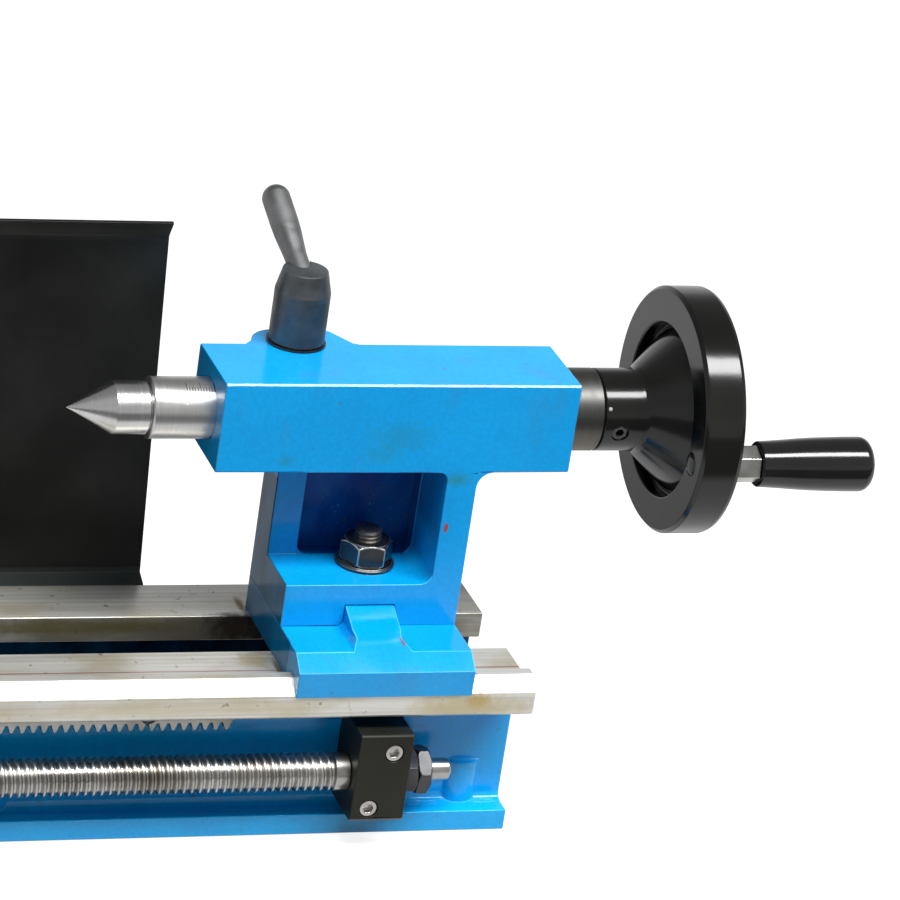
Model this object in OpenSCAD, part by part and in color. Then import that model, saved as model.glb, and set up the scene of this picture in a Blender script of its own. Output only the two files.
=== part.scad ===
// Tailstock end of a small screw-cutting lathe.
// X runs along the bed towards the handwheel, Y to the back, Z up.
// The origin is the middle of the bed's underside.

/* [Bed] */
// Length of the stretch of bed that is modelled
bed_l = 208; // [200:1:260]
// Width over both ways
bed_w = 88; // [86:1:92]
// Height of the flat ways above the bed's underside
bed_h = 62; // [56:1:80]
// Thickness of the ways
way_t = 10; // [9:0.5:12]
// Width of the front way, prism included
front_way_w = 34.25; // [34:0.25:36]
// Width of the rear way
rear_way_w = 25.75; // [24:0.25:27]
// Height of the prism above the flats
prism_h = 4.5; // [4:0.1:5]
// Width of the prism's flat top
prism_top_w = 4; // [3.5:0.1:4.5]
// Thickness of the two bed walls
wall_t = 8; // [7:0.5:9]

/* [Rack] */
// Module of the rack's teeth
rack_module = 1.25; // [1:0.25:1.25]
// Thickness of the rack
rack_t = 8; // [6:0.5:9]
// Height of the rack from its back to the tooth tips
rack_h = 9.6; // [9:0.1:12]
// End of the rack, measured from the middle of the bed
rack_end_x = -4.6; // [-20:0.1:0]

/* [Leadscrew] */
// Diameter of the leadscrew
leadscrew_d = 14; // [12:1:16]
// Diameter of its journal in the end bracket
journal_d = 10; // [8:1:11]
// Left side of the end bracket
bracket_x = 39; // [36:1:42]
// Width of the end bracket
bracket_w = 20; // [18:1:24]

/* [Splash guard] */
// Thickness of the sheet
sheet_t = 1.2; // [1:0.1:2]
// Height of the upright panel
guard_h = 133.6; // [120:0.1:150]
// Right-hand end of the sheet at its foot
guard_end_x = -19.8; // [-30:0.1:-15]
// How far that end leans to the left at the top
guard_lean = 5.2; // [0:0.1:8]

/* [Tailstock] */
// Height of the quill's axis over the flat ways
centre_h = 91; // [90:0.5:92]
// Distance of the quill's axis behind the middle of the bed
axis_y = 0.75; // [0:0.25:1]
// Place of the nose face along the bed
nose_x = -18.5; // [-22:0.5:-14]
// Length of the barrel housing
housing_l = 132; // [130:1:134]
// Depth of the barrel housing, front to back
housing_d = 36; // [35:0.5:38]
// Height of the barrel housing
housing_h = 34; // [33:0.5:35]
// Left side of the neck, from the nose face
neck_x = 32; // [31:0.5:33]
// Length of the neck along the bed
neck_l = 66; // [65:0.5:68]
// How far the neck reaches behind the quill's axis
neck_back = 28; // [27:0.5:29]
// Height of the seam between body and base, below the axis
seam_drop = 77.5; // [77:0.5:78]
// Height of the throat's floor, below the axis
floor_drop = 61.2; // [60:0.2:62]
// Travel of the set-over to either side
set_over = 4; // [2:0.5:4]

/* [Base] */
// Width of the cross tongue
tongue_w = 18.3; // [17:0.1:20]
// Height of the cross tongue
tongue_h = 7.9; // [7:0.1:8]
// Clearance round the tongue in the body's slot
tongue_gap = 0.2; // [0.1:0.05:0.3]

/* [Quill] */
// Diameter of the quill
quill_d = 22; // [22:0.5:23]
// Length of the quill
quill_l = 120; // [118:1:122]
// How far the quill stands out of the nose
quill_out = 22.3; // [20:0.1:24]
// Large diameter of the taper socket
taper_d = 17.78; // [17.7:0.01:17.8]
// Diameter of the head of the dead centre
centre_d = 19; // [18:0.5:20]
// Diameter of the feed screw
screw_d = 12; // [11:0.5:12]
// Radial running clearance of shafts and slides
running = 0.05; // [0.03:0.01:0.08]

/* [Quill lock] */
// Place of the lock's axis along the housing
lock_x = 35.8; // [35:0.1:37]
// Place of the lock's axis behind the quill's axis
lock_y = 19.5; // [19:0.1:20]
// Radius of the cotters
cotter_r = 10; // [9.8:0.1:10]
// Radius of the lever's hub
hub_r = 10.1; // [9.8:0.1:10.5]
// Height of the lever's hub
hub_h = 28.2; // [26:0.1:29]
// Rise of the lever's arm in degrees
arm_rise = 28; // [25:1:35]
// Direction of the lever's arm, in degrees from +X
arm_turn = 95.2; // [90:0.1:100]
// Length of the arm from the hub's axis
arm_l = 43.2; // [38:0.1:50]

/* [Handwheel] */
// Diameter of the handwheel
wheel_d = 90; // [86:1:94]
// Width of the rim
rim_w = 15.8; // [14:0.2:17]
// Inner diameter of the rim
rim_in_d = 63.6; // [62:0.2:66]
// Diameter of the hub and of the bearing flange
wheel_hub_d = 30; // [28:0.5:31]
// Length of the bearing flange outside the housing
flange_l = 12.4; // [12:0.2:13]
// Length of the hub's plain part
wheel_hub_l = 14.8; // [14:0.2:18]
// Radius at which the handle sits
handle_r = 35.4; // [35:0.1:38]
// Angle of the handle round the wheel, from the back of the lathe
handle_angle = 189; // [180:1:200]
// Length of the grip
grip_l = 43.5; // [40:0.5:50]

/* [Hidden] */
$fn = 96;

cast_blue = [0.10, 0.55, 0.85];
steel = [0.72, 0.73, 0.74];
black_steel = [0.13, 0.13, 0.14];
bronze = [0.72, 0.52, 0.25];
small = 0.01;

front_face_y = -bed_w / 2;
rear_face_y = bed_w / 2;
front_inner_y = front_face_y + front_way_w;
rear_inner_y = rear_face_y - rear_way_w;
prism_front_y = front_face_y + prism_h + 0.75;
prism_rear_y = prism_front_y + prism_top_w;
way_under_z = bed_h - way_t;
front_wall_y = front_face_y + 19.75;
rear_wall_y = rear_inner_y + 9.5;
foot_z = 8;
rib_z = 30;
rib_t = 8;
rib_pitch = 66;
foot_spacing_x = 176;
foot_hole_r = 2.5;

tooth_pitch = PI * rack_module;
tooth_h = 2.25 * rack_module;
pressure_angle = 20;
rack_screw_x = [-95.7, -35.7];
rack_screw_drop = 3.6;

leadscrew_y = -36.5;
leadscrew_z = 27;
stub_x = bracket_x + bracket_w + 11;
stub_r = 4;
stub_l = 8;
bracket_z0 = 12;
bracket_z1 = 47;
bracket_front_y = -48;
bracket_screw_places = [[52.3, 39.8], [45.5, 17.5]];
bracket_head_r = 3.2;

guard_y = rear_face_y + 6;
guard_z0 = bed_h + 2.4;
lip_h = 6.6;
lip_lean = 4;
guard_screw_x = [-90, -35];

axis_z = bed_h + centre_h;
half_d = housing_d / 2;
half_h = housing_h / 2;
neck_x1 = neck_x + neck_l;
tongue_x = neck_x + neck_l / 2 - 0.5;
tongue_foot_w = 1.9;
tongue_end_y = 20;
stud_x = tongue_x + 2;
stud_y = 0;
stud_r = 5;
washer_r = 10.6;
nut_turn = -4;
slope_gap = 0.04;
lip_y = -45.3;
lip_top_drop = 82.4;
pocket_y = -38.3;
back_r = 5.5;
throat_x1 = 86.6;
throat_back_y = 7.5;
recess_back_y = stud_y + set_over + washer_r + 0.4;
body_screw_places = [[41, 9], [89, 9]];
body_screw_r = 3;

arm_root_r = 4.1;

quill_r = quill_d / 2;
quill_x0 = -quill_out;
quill_x1 = quill_x0 + quill_l;
taper_rate = 0.04995;
socket_l = 66;
nut_l = 22;
nut_r = 9;
screw_r = screw_d / 2;
screw_x0 = 48;
shoulder_x = 116;
shoulder_r = 9.5;
shoulder_l = 4;
flange_spigot_r = 12.5;
keyway_w = 5;
keyway_depth = 1.5;
guide_x = 16;

hub_x0 = housing_l + flange_l + 0.15;
hub_x1 = hub_x0 + wheel_hub_l - 0.15;
rim_x0 = 171;
rim_x1 = rim_x0 + rim_w;
wheel_r = wheel_d / 2;
rim_in_r = rim_in_d / 2;
hub_rr = wheel_hub_d / 2;
shaft_end_x = 177;
set_screw_x = 151;
set_screw_angle = 192.5;
spindle_r = 4;
hex_l = 9.2;
grip_x0 = rim_x1 + hex_l + 0.3;

// Helpers: solids that lie along X or Y, and plain fasteners

module along_x(r, x0, x1, r2 = -1) {
    translate([x0, 0, 0])
        rotate([0, 90, 0])
            cylinder(h = x1 - x0, r1 = r, r2 = r2 < 0 ? r : r2);
}

module along_y(r, y0, y1) {
    translate([0, y0, 0])
        rotate([-90, 0, 0])
            cylinder(h = y1 - y0, r = r);
}

// A profile drawn in the Y-Z plane, pulled along X
module pull_x(x0, x1) {
    translate([x0, 0, 0])
        rotate([90, 0, 90])
            linear_extrude(height = x1 - x0)
                children();
}

// A profile drawn in the X-Z plane, pulled along Y
module pull_y(y0, y1) {
    translate([0, y1, 0])
        rotate([90, 0, 0])
            linear_extrude(height = y1 - y0)
                children();
}

module on_tailstock() {
    translate([nose_x, axis_y, axis_z])
        children();
}

// Concave corner filler of radius r, with its corner at the origin
module corner_fillet(r) {
    difference() {
        square(r);
        translate([r, r])
            circle(r);
    }
}

// Rectangle from one corner to the other with round corners
module round_rect(x0, y0, x1, y1, r) {
    translate([x0 + r, y0])
        square([x1 - x0 - 2 * r, y1 - y0]);
    translate([x0, y0 + r])
        square([x1 - x0, y1 - y0 - 2 * r]);
    for (x = [x0 + r, x1 - r], y = [y0 + r, y1 - r])
        translate([x, y])
            circle(r);
}

// Rectangle with its four corners cut off
module chamfer_rect(w, h, c) {
    polygon([[c - w / 2, -h / 2], [w / 2 - c, -h / 2], [w / 2, c - h / 2], [w / 2, h / 2 - c],
        [w / 2 - c, h / 2], [c - w / 2, h / 2], [-w / 2, h / 2 - c], [-w / 2, c - h / 2]]);
}

// Hole that is long along Y, for a bolt that shifts sideways
module slot_y(r, travel, h) {
    for (y = [-travel, travel])
        translate([0, y, 0])
            cylinder(h = h, r = r);
    translate([-r, -travel, 0])
        cube([2 * r, 2 * travel, h]);
}

// Socket-head screw: the seat of the head is at the origin, the shank points down
module socket_screw(r, shank_l, head_r, head_h) {
    difference() {
        union() {
            translate([0, 0, -shank_l])
                cylinder(h = shank_l + small, r = r);
            cylinder(h = head_h, r = head_r);
        }
        translate([0, 0, head_h - r])
            cylinder(h = r + 1, r = r * 0.95, $fn = 6);
    }
}

// Regular hexagon prism across flats af
module hex(af, h) {
    cylinder(h = h, r = af / 2 / cos(30), $fn = 6);
}

// Nut with the corners turned off at both ends
module hex_nut(af, h, bore_r) {
    difference() {
        intersection() {
            hex(af, h);
            union() {
                cylinder(h = h / 2, r1 = af * 0.53, r2 = af * 0.53 + h / 2);
                translate([0, 0, h / 2])
                    cylinder(h = h / 2, r1 = af * 0.53 + h / 2, r2 = af * 0.49);
            }
        }
        translate([0, 0, -1])
            cylinder(h = h + 2, r = bore_r);
    }
}

// Bed

module bed_section() {
    edge = 1.2;
    polygon([[front_face_y, way_under_z + edge], [front_face_y, bed_h - 0.75],
        [prism_front_y, bed_h + prism_h], [prism_rear_y, bed_h + prism_h],
        [prism_rear_y + prism_h, bed_h], [front_inner_y, bed_h], [front_inner_y, way_under_z],
        [front_wall_y + wall_t, way_under_z], [front_wall_y + wall_t, 0],
        [front_wall_y, 0], [front_wall_y, way_under_z], [front_face_y + edge, way_under_z]]);
    polygon([[rear_inner_y, way_under_z], [rear_inner_y, bed_h], [rear_face_y, bed_h],
        [rear_face_y, way_under_z], [rear_wall_y + wall_t, way_under_z], [rear_wall_y + wall_t, 0],
        [rear_wall_y, 0], [rear_wall_y, way_under_z]]);
    // Feet of both walls, turned outwards
    translate([front_wall_y - 10, 0])
        square([12, foot_z]);
    translate([rear_wall_y + wall_t - 2, 0])
        square([10, foot_z]);
    translate([front_wall_y, foot_z])
        mirror([1, 0])
            corner_fillet(3);
    translate([rear_wall_y + wall_t, foot_z])
        corner_fillet(3);
    translate([rear_wall_y + wall_t, way_under_z])
        mirror([0, 1])
            corner_fillet(3);
}

module foot_places() {
    for (x = [-1, 1] * foot_spacing_x / 2, y = [front_wall_y, rear_wall_y] + [wall_t, wall_t] / 2)
        translate([x, y, 0])
            children();
}

module bed_casting() {
    color(cast_blue)
        difference() {
            union() {
                pull_x(-bed_l / 2, bed_l / 2)
                    bed_section();
                for (x = [-1, 0, 1] * rib_pitch)
                    translate([x - rib_t / 2, front_wall_y + 1, 0])
                        cube([rib_t, rear_wall_y - front_wall_y, rib_z]);
                foot_places()
                    cylinder(h = 24, r = 7.5);
            }
            foot_places()
                translate([0, 0, -small])
                    cylinder(h = 16, r = foot_hole_r);
            // Screw holes behind the rack, the bracket and the guard
            for (x = rack_screw_x)
                translate([x, 0, way_under_z - rack_screw_drop])
                    along_y(1.7, front_wall_y - 1, front_wall_y + wall_t + 1);
            for (p = bracket_screw_places)
                translate([p[0], 0, p[1]])
                    along_y(2.1, front_wall_y - 1, front_wall_y + wall_t + 1);
            for (x = guard_screw_x)
                translate([x, 0, bed_h - 5])
                    along_y(1.7, rear_face_y - 9, rear_face_y + 1);
        }
}

// Rack

module rack_profile() {
    tip = tooth_pitch / 2 - 2 * rack_module * tan(pressure_angle);
    root = tip + 2 * tooth_h * tan(pressure_angle);
    count = floor((rack_end_x + bed_l / 2) / tooth_pitch);
    translate([-bed_l / 2, tooth_h - rack_h])
        square([rack_end_x + bed_l / 2, rack_h - tooth_h]);
    for (i = [0:count - 1])
        translate([rack_end_x - (i + 0.5) * tooth_pitch, -rack_h])
            polygon([[-tip / 2, 0], [tip / 2, 0], [root / 2, tooth_h + small],
                [-root / 2, tooth_h + small]]);
}

module rack() {
    color(steel)
        difference() {
            translate([0, 0, way_under_z])
                pull_y(front_wall_y - rack_t, front_wall_y)
                    rack_profile();
            for (x = rack_screw_x)
                translate([x, 0, way_under_z - rack_screw_drop]) {
                    along_y(2.1, front_wall_y - rack_t - 1, front_wall_y + 1);
                    along_y(3.2, front_wall_y - rack_t - 1, front_wall_y - rack_t + 3.5);
                }
        }
}

module rack_screws() {
    color(black_steel)
        for (x = rack_screw_x)
            translate([x, front_wall_y - rack_t + 3.5, way_under_z - rack_screw_drop])
                rotate([90, 0, 0])
                    socket_screw(1.65, rack_t - 3.5 + 5, 3, 3.3);
}

// Leadscrew and its end bracket

module leadscrew_bracket() {
    step = 1.5;
    color(black_steel)
        difference() {
            pull_x(bracket_x, bracket_x + bracket_w)
                polygon([[bracket_front_y, bracket_z0 + step], [bracket_front_y, bracket_z1 - step / 2],
                    [bracket_front_y + step / 2, bracket_z1], [front_wall_y, bracket_z1],
                    [front_wall_y, bracket_z0], [bracket_front_y + step, bracket_z0]]);
            translate([0, leadscrew_y, leadscrew_z])
                along_x(journal_d / 2 + running, bracket_x - 1, bracket_x + bracket_w + 1);
            for (p = bracket_screw_places)
                translate([p[0], 0, p[1]]) {
                    along_y(2.6, bracket_front_y - 1, front_wall_y + 1);
                    along_y(bracket_head_r + 0.3, bracket_front_y - 1, bracket_front_y + 3.5);
                }
        }
}

module bracket_screws() {
    color(steel)
        for (p = bracket_screw_places)
            translate([p[0], bracket_front_y + 3.5, p[1]])
                rotate([90, 0, 0])
                    socket_screw(2.05, 20.25 + 6, bracket_head_r, 3.2);
}

module leadscrew() {
    color(steel)
        translate([0, leadscrew_y, leadscrew_z]) {
            along_x(leadscrew_d / 2, -bed_l / 2, bracket_x - 0.3);
            along_x(journal_d / 2, bracket_x - 0.3 - small, stub_x);
            along_x(stub_r, stub_x - small, stub_x + stub_l);
        }
}

module leadscrew_nuts() {
    nut_h = 5;
    color(black_steel)
        for (i = [0, 1])
            translate([bracket_x + bracket_w + 0.3 + i * (nut_h + 0.05), leadscrew_y, leadscrew_z])
                rotate([0, 90, 0])
                    rotate(i * 17)
                        hex_nut(16, nut_h, journal_d / 2 + running);
}

// Splash guard

module guard_section() {
    y0 = guard_y;
    y1 = guard_y + sheet_t;
    top = guard_z0 + guard_h;
    polygon([[rear_face_y, bed_h - 10], [rear_face_y + sheet_t, bed_h - 10],
        [rear_face_y + sheet_t, bed_h - 0.8], [y1, guard_z0 - 0.8], [y1, top],
        [y1 - lip_lean, top + lip_h], [y0 - lip_lean, top + lip_h - 0.6], [y0, top - 0.6],
        [y0, guard_z0], [rear_face_y, bed_h]]);
}

module splash_guard() {
    color(black_steel)
        difference() {
            pull_x(-bed_l / 2, guard_end_x)
                guard_section();
            pull_y(guard_y - lip_lean - 2, guard_y + sheet_t + 1)
                polygon([[guard_end_x, bed_h], [guard_end_x - guard_lean, guard_z0 + guard_h],
                    [guard_end_x - guard_lean, guard_z0 + guard_h + lip_h + 1],
                    [guard_end_x + 1, guard_z0 + guard_h + lip_h + 1], [guard_end_x + 1, bed_h]]);
            for (x = guard_screw_x)
                translate([x, 0, bed_h - 5])
                    along_y(2.2, rear_face_y - 1, rear_face_y + 3);
        }
}

module guard_screws() {
    color(steel)
        for (x = guard_screw_x)
            translate([x, rear_face_y + sheet_t, bed_h - 5])
                rotate([-90, 0, 0]) {
                    translate([0, 0, -sheet_t - 6])
                        cylinder(h = sheet_t + 6 + small, r = 1.65);
                    rotate_extrude()
                        difference() {
                            intersection() {
                                square([3.5, 2.2]);
                                translate([0, -2.6])
                                    circle(4.4);
                            }
                            translate([-small, 1.2])
                                square([0.6, 2]);
                        }
                }
}

// Tailstock base

module base_section() {
    slope_y = prism_rear_y - axis_y;
    slope_front_y = prism_front_y - axis_y;
    groove_top = prism_h + 0.3;
    flat = -centre_h;
    polygon([[lip_y, flat + (lip_y - slope_front_y) + prism_h + slope_gap], [lip_y, -lip_top_drop],
        [pocket_y, -seam_drop], [neck_back, -seam_drop], [neck_back, flat + 3],
        [neck_back - 3, flat],
        [slope_y + prism_h + slope_gap, flat],
        [slope_y + prism_h + slope_gap - groove_top, flat + groove_top],
        [slope_front_y - slope_gap + groove_top - prism_h, flat + groove_top]]);
}

module tongue_section() {
    top = tongue_h - seam_drop;
    polygon([[pocket_y, -seam_drop - 1], [pocket_y, -seam_drop], [-half_d, top],
        [tongue_end_y, top], [tongue_end_y, -seam_drop - 1]]);
}

// Plan of the tongue, a little narrower towards the front
module tongue_plan() {
    w = tongue_w / 2;
    waist = w - 1;
    translate([tongue_x, 0])
        polygon([[-w, tongue_end_y], [-w, -28], [-waist, -34], [-waist, pocket_y],
            [waist, pocket_y], [waist, -34], [w, -28], [w, tongue_end_y]]);
}

// Front view of the ramps at the tongue's foot
module tongue_foot() {
    w = tongue_w / 2;
    translate([tongue_x, -seam_drop])
        polygon([[-w - tongue_foot_w, -1], [-w - tongue_foot_w, 0], [1 - w, 2.6], [w - 1, 2.6],
            [w + tongue_foot_w, 0], [w + tongue_foot_w, -1]]);
}

module tailstock_base() {
    color(cast_blue)
        on_tailstock()
            difference() {
                union() {
                    intersection() {
                        pull_x(neck_x, neck_x1)
                            base_section();
                        translate([0, 0, -centre_h - 2])
                            linear_extrude(height = centre_h)
                                rounded_back(lip_y - 1);
                    }
                    intersection() {
                        pull_x(neck_x, neck_x1)
                            tongue_section();
                        union() {
                            translate([0, 0, -centre_h])
                                linear_extrude(height = centre_h - half_h)
                                    tongue_plan();
                            pull_y(pocket_y, tongue_end_y)
                                tongue_foot();
                        }
                    }
                }
                translate([stud_x, stud_y, -centre_h - 1])
                    cylinder(h = 30, r = stud_r + 0.5);
                // Relief under the base, between the ways
                translate([neck_x + 6, -7, -centre_h - 1])
                    cube([neck_l - 12, 21, 4]);
                for (p = body_screw_places)
                    translate([p[0], p[1], -centre_h - 1]) {
                        slot_y(body_screw_r + 0.4, set_over, 20);
                        slot_y(5.5, set_over, 8);
                    }
            }
}

module clamp_stud() {
    color(black_steel)
        on_tailstock()
            translate([stud_x, stud_y, 0]) {
                translate([0, 0, -centre_h - way_t - 10.1])
                    cylinder(h = centre_h + way_t + 10.1 - 47.8, r = stud_r);
                translate([0, 0, -48 + 0.2 - small])
                    cylinder(h = 0.8, r1 = stud_r, r2 = stud_r - 0.8);
                translate([0, 0, -centre_h - way_t - 10.1 - 6.5])
                    hex(17, 6.5);
            }
}

module clamp_plate() {
    under = -centre_h - way_t;
    color(black_steel)
        on_tailstock()
            difference() {
                union() {
                    translate([stud_x - 17, front_inner_y - axis_y - 5.5, under - 10.1])
                        cube([34, rear_inner_y - front_inner_y + 12, 10]);
                    translate([stud_x - 17, front_inner_y - axis_y + 0.75, under - 1])
                        cube([34, rear_inner_y - front_inner_y - 1.5, 5]);
                }
                translate([stud_x, stud_y, under - 12])
                    cylinder(h = 30, r = stud_r + 0.1);
            }
}

module clamp_washer() {
    color(black_steel)
        on_tailstock()
            translate([stud_x, stud_y, -floor_drop])
                difference() {
                    union() {
                        cylinder(h = 1.3, r = washer_r);
                        translate([0, 0, 1.3 - small])
                            cylinder(h = 0.5, r1 = washer_r, r2 = washer_r - 0.6);
                    }
                    translate([0, 0, -1])
                        cylinder(h = 4, r = stud_r + 0.2);
                }
}

module clamp_nut() {
    color(black_steel)
        on_tailstock()
            translate([stud_x, stud_y, -floor_drop + 1.8])
                rotate(nut_turn)
                    hex_nut(17, 8.4, stud_r + running);
}

module set_over_screw() {
    color(black_steel)
        on_tailstock()
            translate([tongue_x, 0, -seam_drop + 4.2])
                difference() {
                    along_y(3, 20, neck_back + set_over + 2);
                    along_y(1.6, neck_back + set_over - 1, neck_back + set_over + 3, $fn = 6);
                }
}

// Tailstock body

// Pad behind the housing that carries the quill lock
module lock_boss_plan() {
    translate([lock_x, lock_y])
        circle(cotter_r + 2.5);
    translate([lock_x - 4.8, lock_y + 0.2])
        circle(11.3);
    translate([lock_x + 11.7, lock_y + 6.3])
        circle(5);
    polygon([[lock_x - 18.8, half_d - 2], [lock_x - 18.8, half_d], [lock_x - 15.4, half_d + 4.2],
        [lock_x - 4.8, lock_y + 11.5], [lock_x + 11.7, lock_y + 11.3],
        [lock_x + 16.2, lock_y + 8.4], [lock_x + 21.3, half_d + 0.8], [lock_x + 23, half_d],
        [lock_x + 23, half_d - 2]]);
}

// Plan of neck and base: square in front, rounded at the back
module rounded_back(y0) {
    translate([neck_x, y0])
        square([neck_l, neck_back - back_r - y0]);
    translate([neck_x + back_r, y0])
        square([neck_l - 2 * back_r, neck_back - y0]);
    for (x = [neck_x + back_r, neck_x1 - back_r])
        translate([x, neck_back - back_r])
            circle(back_r);
}

module neck_section() {
    polygon([[-half_d, -half_h + 1], [-half_d, -seam_drop], [neck_back, -seam_drop],
        [neck_back, -32], [half_d, -half_h], [half_d, -half_h + 1]]);
}

// Open throat of the neck: square on the left, round corners on the right
module throat_front() {
    top = -half_h;
    bottom = -floor_drop;
    r_top = 3.4;
    r_bottom = 4.5;
    translate([neck_x - 1, bottom])
        square([throat_x1 - r_bottom - neck_x + 1, top - bottom]);
    translate([throat_x1 - r_bottom - small, bottom + r_bottom])
        square([r_bottom + small, top - bottom - r_bottom - r_top]);
    translate([throat_x1 - r_bottom - small, top - r_top - small])
        square([r_bottom - r_top + small, r_top + small]);
    translate([throat_x1 - r_bottom, bottom + r_bottom])
        circle(r_bottom);
    translate([throat_x1 - r_top, top - r_top])
        circle(r_top);
}

module tailstock_body() {
    color(cast_blue)
        on_tailstock()
            difference() {
                union() {
                    pull_x(0, housing_l)
                        chamfer_rect(housing_d, housing_h, 0.6);
                    intersection() {
                        pull_x(neck_x, neck_x1)
                            neck_section();
                        translate([0, 0, -centre_h])
                            linear_extrude(height = centre_h)
                                rounded_back(-half_d - 1);
                    }
                    translate([0, 0, -half_h - 10])
                        linear_extrude(height = housing_h + 10)
                            lock_boss_plan();
                    // Fillet from the neck to the underside of the housing
                    pull_y(-half_d, half_d)
                        translate([neck_x1, -half_h])
                            mirror([0, 1])
                                corner_fillet(6);
                }
                pull_y(-half_d - 1, throat_back_y)
                    throat_front();
                pull_y(throat_back_y - 1, recess_back_y)
                    round_rect(neck_x + 11, -floor_drop, throat_x1 - 0.4, -half_h - 1, 4);
                // Slot for the cross tongue, closed at the back
                translate([tongue_x - tongue_w / 2 - tongue_gap, -half_d - 1, -seam_drop - 1])
                    cube([tongue_w + 2 * tongue_gap, half_d + 1 + tongue_end_y + set_over + 0.3,
                        tongue_h + 1 + 0.5]);
                pull_y(-half_d - 1, tongue_end_y + set_over + 0.3)
                    offset(delta = tongue_gap)
                        tongue_foot();
                translate([stud_x, stud_y, -seam_drop - 1])
                    slot_y(stud_r + 0.5, set_over, seam_drop - floor_drop + 2);
                translate([tongue_x, 0, -seam_drop + 4.2])
                    along_y(3 + running, neck_back - 8, neck_back + 1);
                for (p = body_screw_places)
                    translate([p[0], p[1], -seam_drop - 1])
                        cylinder(h = 12, r = body_screw_r + running);
                // Barrel bore with the seat of the bearing flange
                along_x(quill_r + running, -1, housing_l + 1);
                along_x(flange_spigot_r + running, housing_l - 12, housing_l + 1);
                translate([housing_l - 6, 0, 0])
                    along_y(2.4 + running, 10, half_d + 1);
                translate([guide_x, 0, -half_h - 1])
                    cylinder(h = half_h, r = 3 + running);
                translate([lock_x, lock_y, -half_h + 1.5])
                    cylinder(h = housing_h, r = cotter_r + running);
            }
}

module body_screws() {
    color(black_steel)
        on_tailstock()
            for (p = body_screw_places)
                translate([p[0], p[1], -centre_h + 7])
                    mirror([0, 0, 1])
                        socket_screw(body_screw_r, 16, 5, 5.5);
}

// Turned flange that carries the feed screw in the end of the housing
module bearing_flange() {
    edge = 0.6;
    color(steel)
        on_tailstock()
            difference() {
                union() {
                    along_x(hub_rr, housing_l, housing_l + flange_l - edge);
                    along_x(hub_rr, housing_l + flange_l - edge - small, housing_l + flange_l,
                        hub_rr - edge);
                    along_x(flange_spigot_r, housing_l - 11.9, housing_l + small);
                }
                along_x(screw_r + running, housing_l - 13, housing_l + flange_l + 1);
            }
}

// Grub screw that holds the flange's spigot, from the back of the housing
module flange_screw() {
    color(black_steel)
        on_tailstock()
            translate([housing_l - 6, 0, 0])
                difference() {
                    along_y(2.4, flange_spigot_r + 0.15, half_d - 0.3);
                    along_y(1.3, half_d - 2.5, half_d, $fn = 6);
                }
}

// Dog-point screw that keeps the quill from turning
module quill_guide_screw() {
    top = -quill_r + keyway_depth - 0.4;
    color(black_steel)
        on_tailstock()
            translate([guide_x, 0, 0])
                difference() {
                    union() {
                        translate([0, 0, -half_h + 0.3])
                            cylinder(h = half_h - quill_r - 0.8, r = 3);
                        translate([0, 0, -half_h + 0.3])
                            cylinder(h = top + half_h - 0.3, r = keyway_w / 2 - 0.15);
                    }
                    translate([0, 0, -half_h - 1])
                        cylinder(h = 3.2, r = 1.7, $fn = 6);
                }
}

// Quill lock

module cotter(z0, z1, bore_r) {
    on_tailstock()
        difference() {
            translate([lock_x, lock_y, z0])
                cylinder(h = z1 - z0, r = cotter_r);
            translate([lock_x, lock_y, z0 - 1])
                cylinder(h = z1 - z0 + 2, r = bore_r);
            along_x(quill_r + running, lock_x - 15, lock_x + 15);
        }
}

module upper_cotter() {
    color(steel)
        cotter(1.5, half_h, 4.2);
}

module lower_cotter() {
    color(steel)
        cotter(-half_h + 1.6, -1.5, 4 + running);
}

module lock_washer() {
    color(black_steel)
        on_tailstock()
            translate([lock_x, lock_y, half_h])
                difference() {
                    cylinder(h = 0.9, r = hub_r + 0.7);
                    translate([0, 0, -1])
                        cylinder(h = 3, r = 4.3);
                }
}

module lock_stud() {
    color(steel)
        on_tailstock()
            translate([lock_x, lock_y, -half_h + 3])
                cylinder(h = housing_h - 3 + 17.5, r = 4);
}

module arm_frame() {
    translate([lock_x, lock_y, half_h + hub_h - 5.2])
        rotate([0, -arm_rise, arm_turn])
            children();
}

module lock_hub() {
    cone_h = 8.2;
    color(black_steel)
        on_tailstock()
            difference() {
                translate([lock_x, lock_y, 0])
                    rotate_extrude()
                        polygon([[0, half_h + 0.95], [hub_r - 0.3, half_h + 0.95],
                            [hub_r, half_h + 1.3], [hub_r, half_h + hub_h - cone_h],
                            [8.2, half_h + hub_h - 0.3], [7.9, half_h + hub_h],
                            [0, half_h + hub_h]]);
                translate([lock_x, lock_y, half_h])
                    cylinder(h = 18, r = 4 + running);
                arm_frame()
                    along_x(arm_root_r + 0.05, 0.5, 30);
            }
}

// Turned arm: its root sits in the hub, and it thickens towards the round end
module lock_arm() {
    end_r = 5.15;
    color([0.42, 0.43, 0.44])
        on_tailstock()
            arm_frame()
                rotate([0, 90, 0])
                    rotate_extrude()
                        difference() {
                            union() {
                                polygon([[0, 1], [arm_root_r, 1], [arm_root_r, 12],
                                    [end_r - 0.15, arm_l * 0.53], [end_r, arm_l * 0.64],
                                    [end_r, arm_l - end_r + 0.7], [0, arm_l - end_r + 0.7]]);
                                translate([0, arm_l - end_r + 0.5])
                                    circle(end_r);
                            }
                            translate([-20, 0])
                                square([20, arm_l * 2]);
                        }
}

// Quill, its nut and the dead centre

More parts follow.
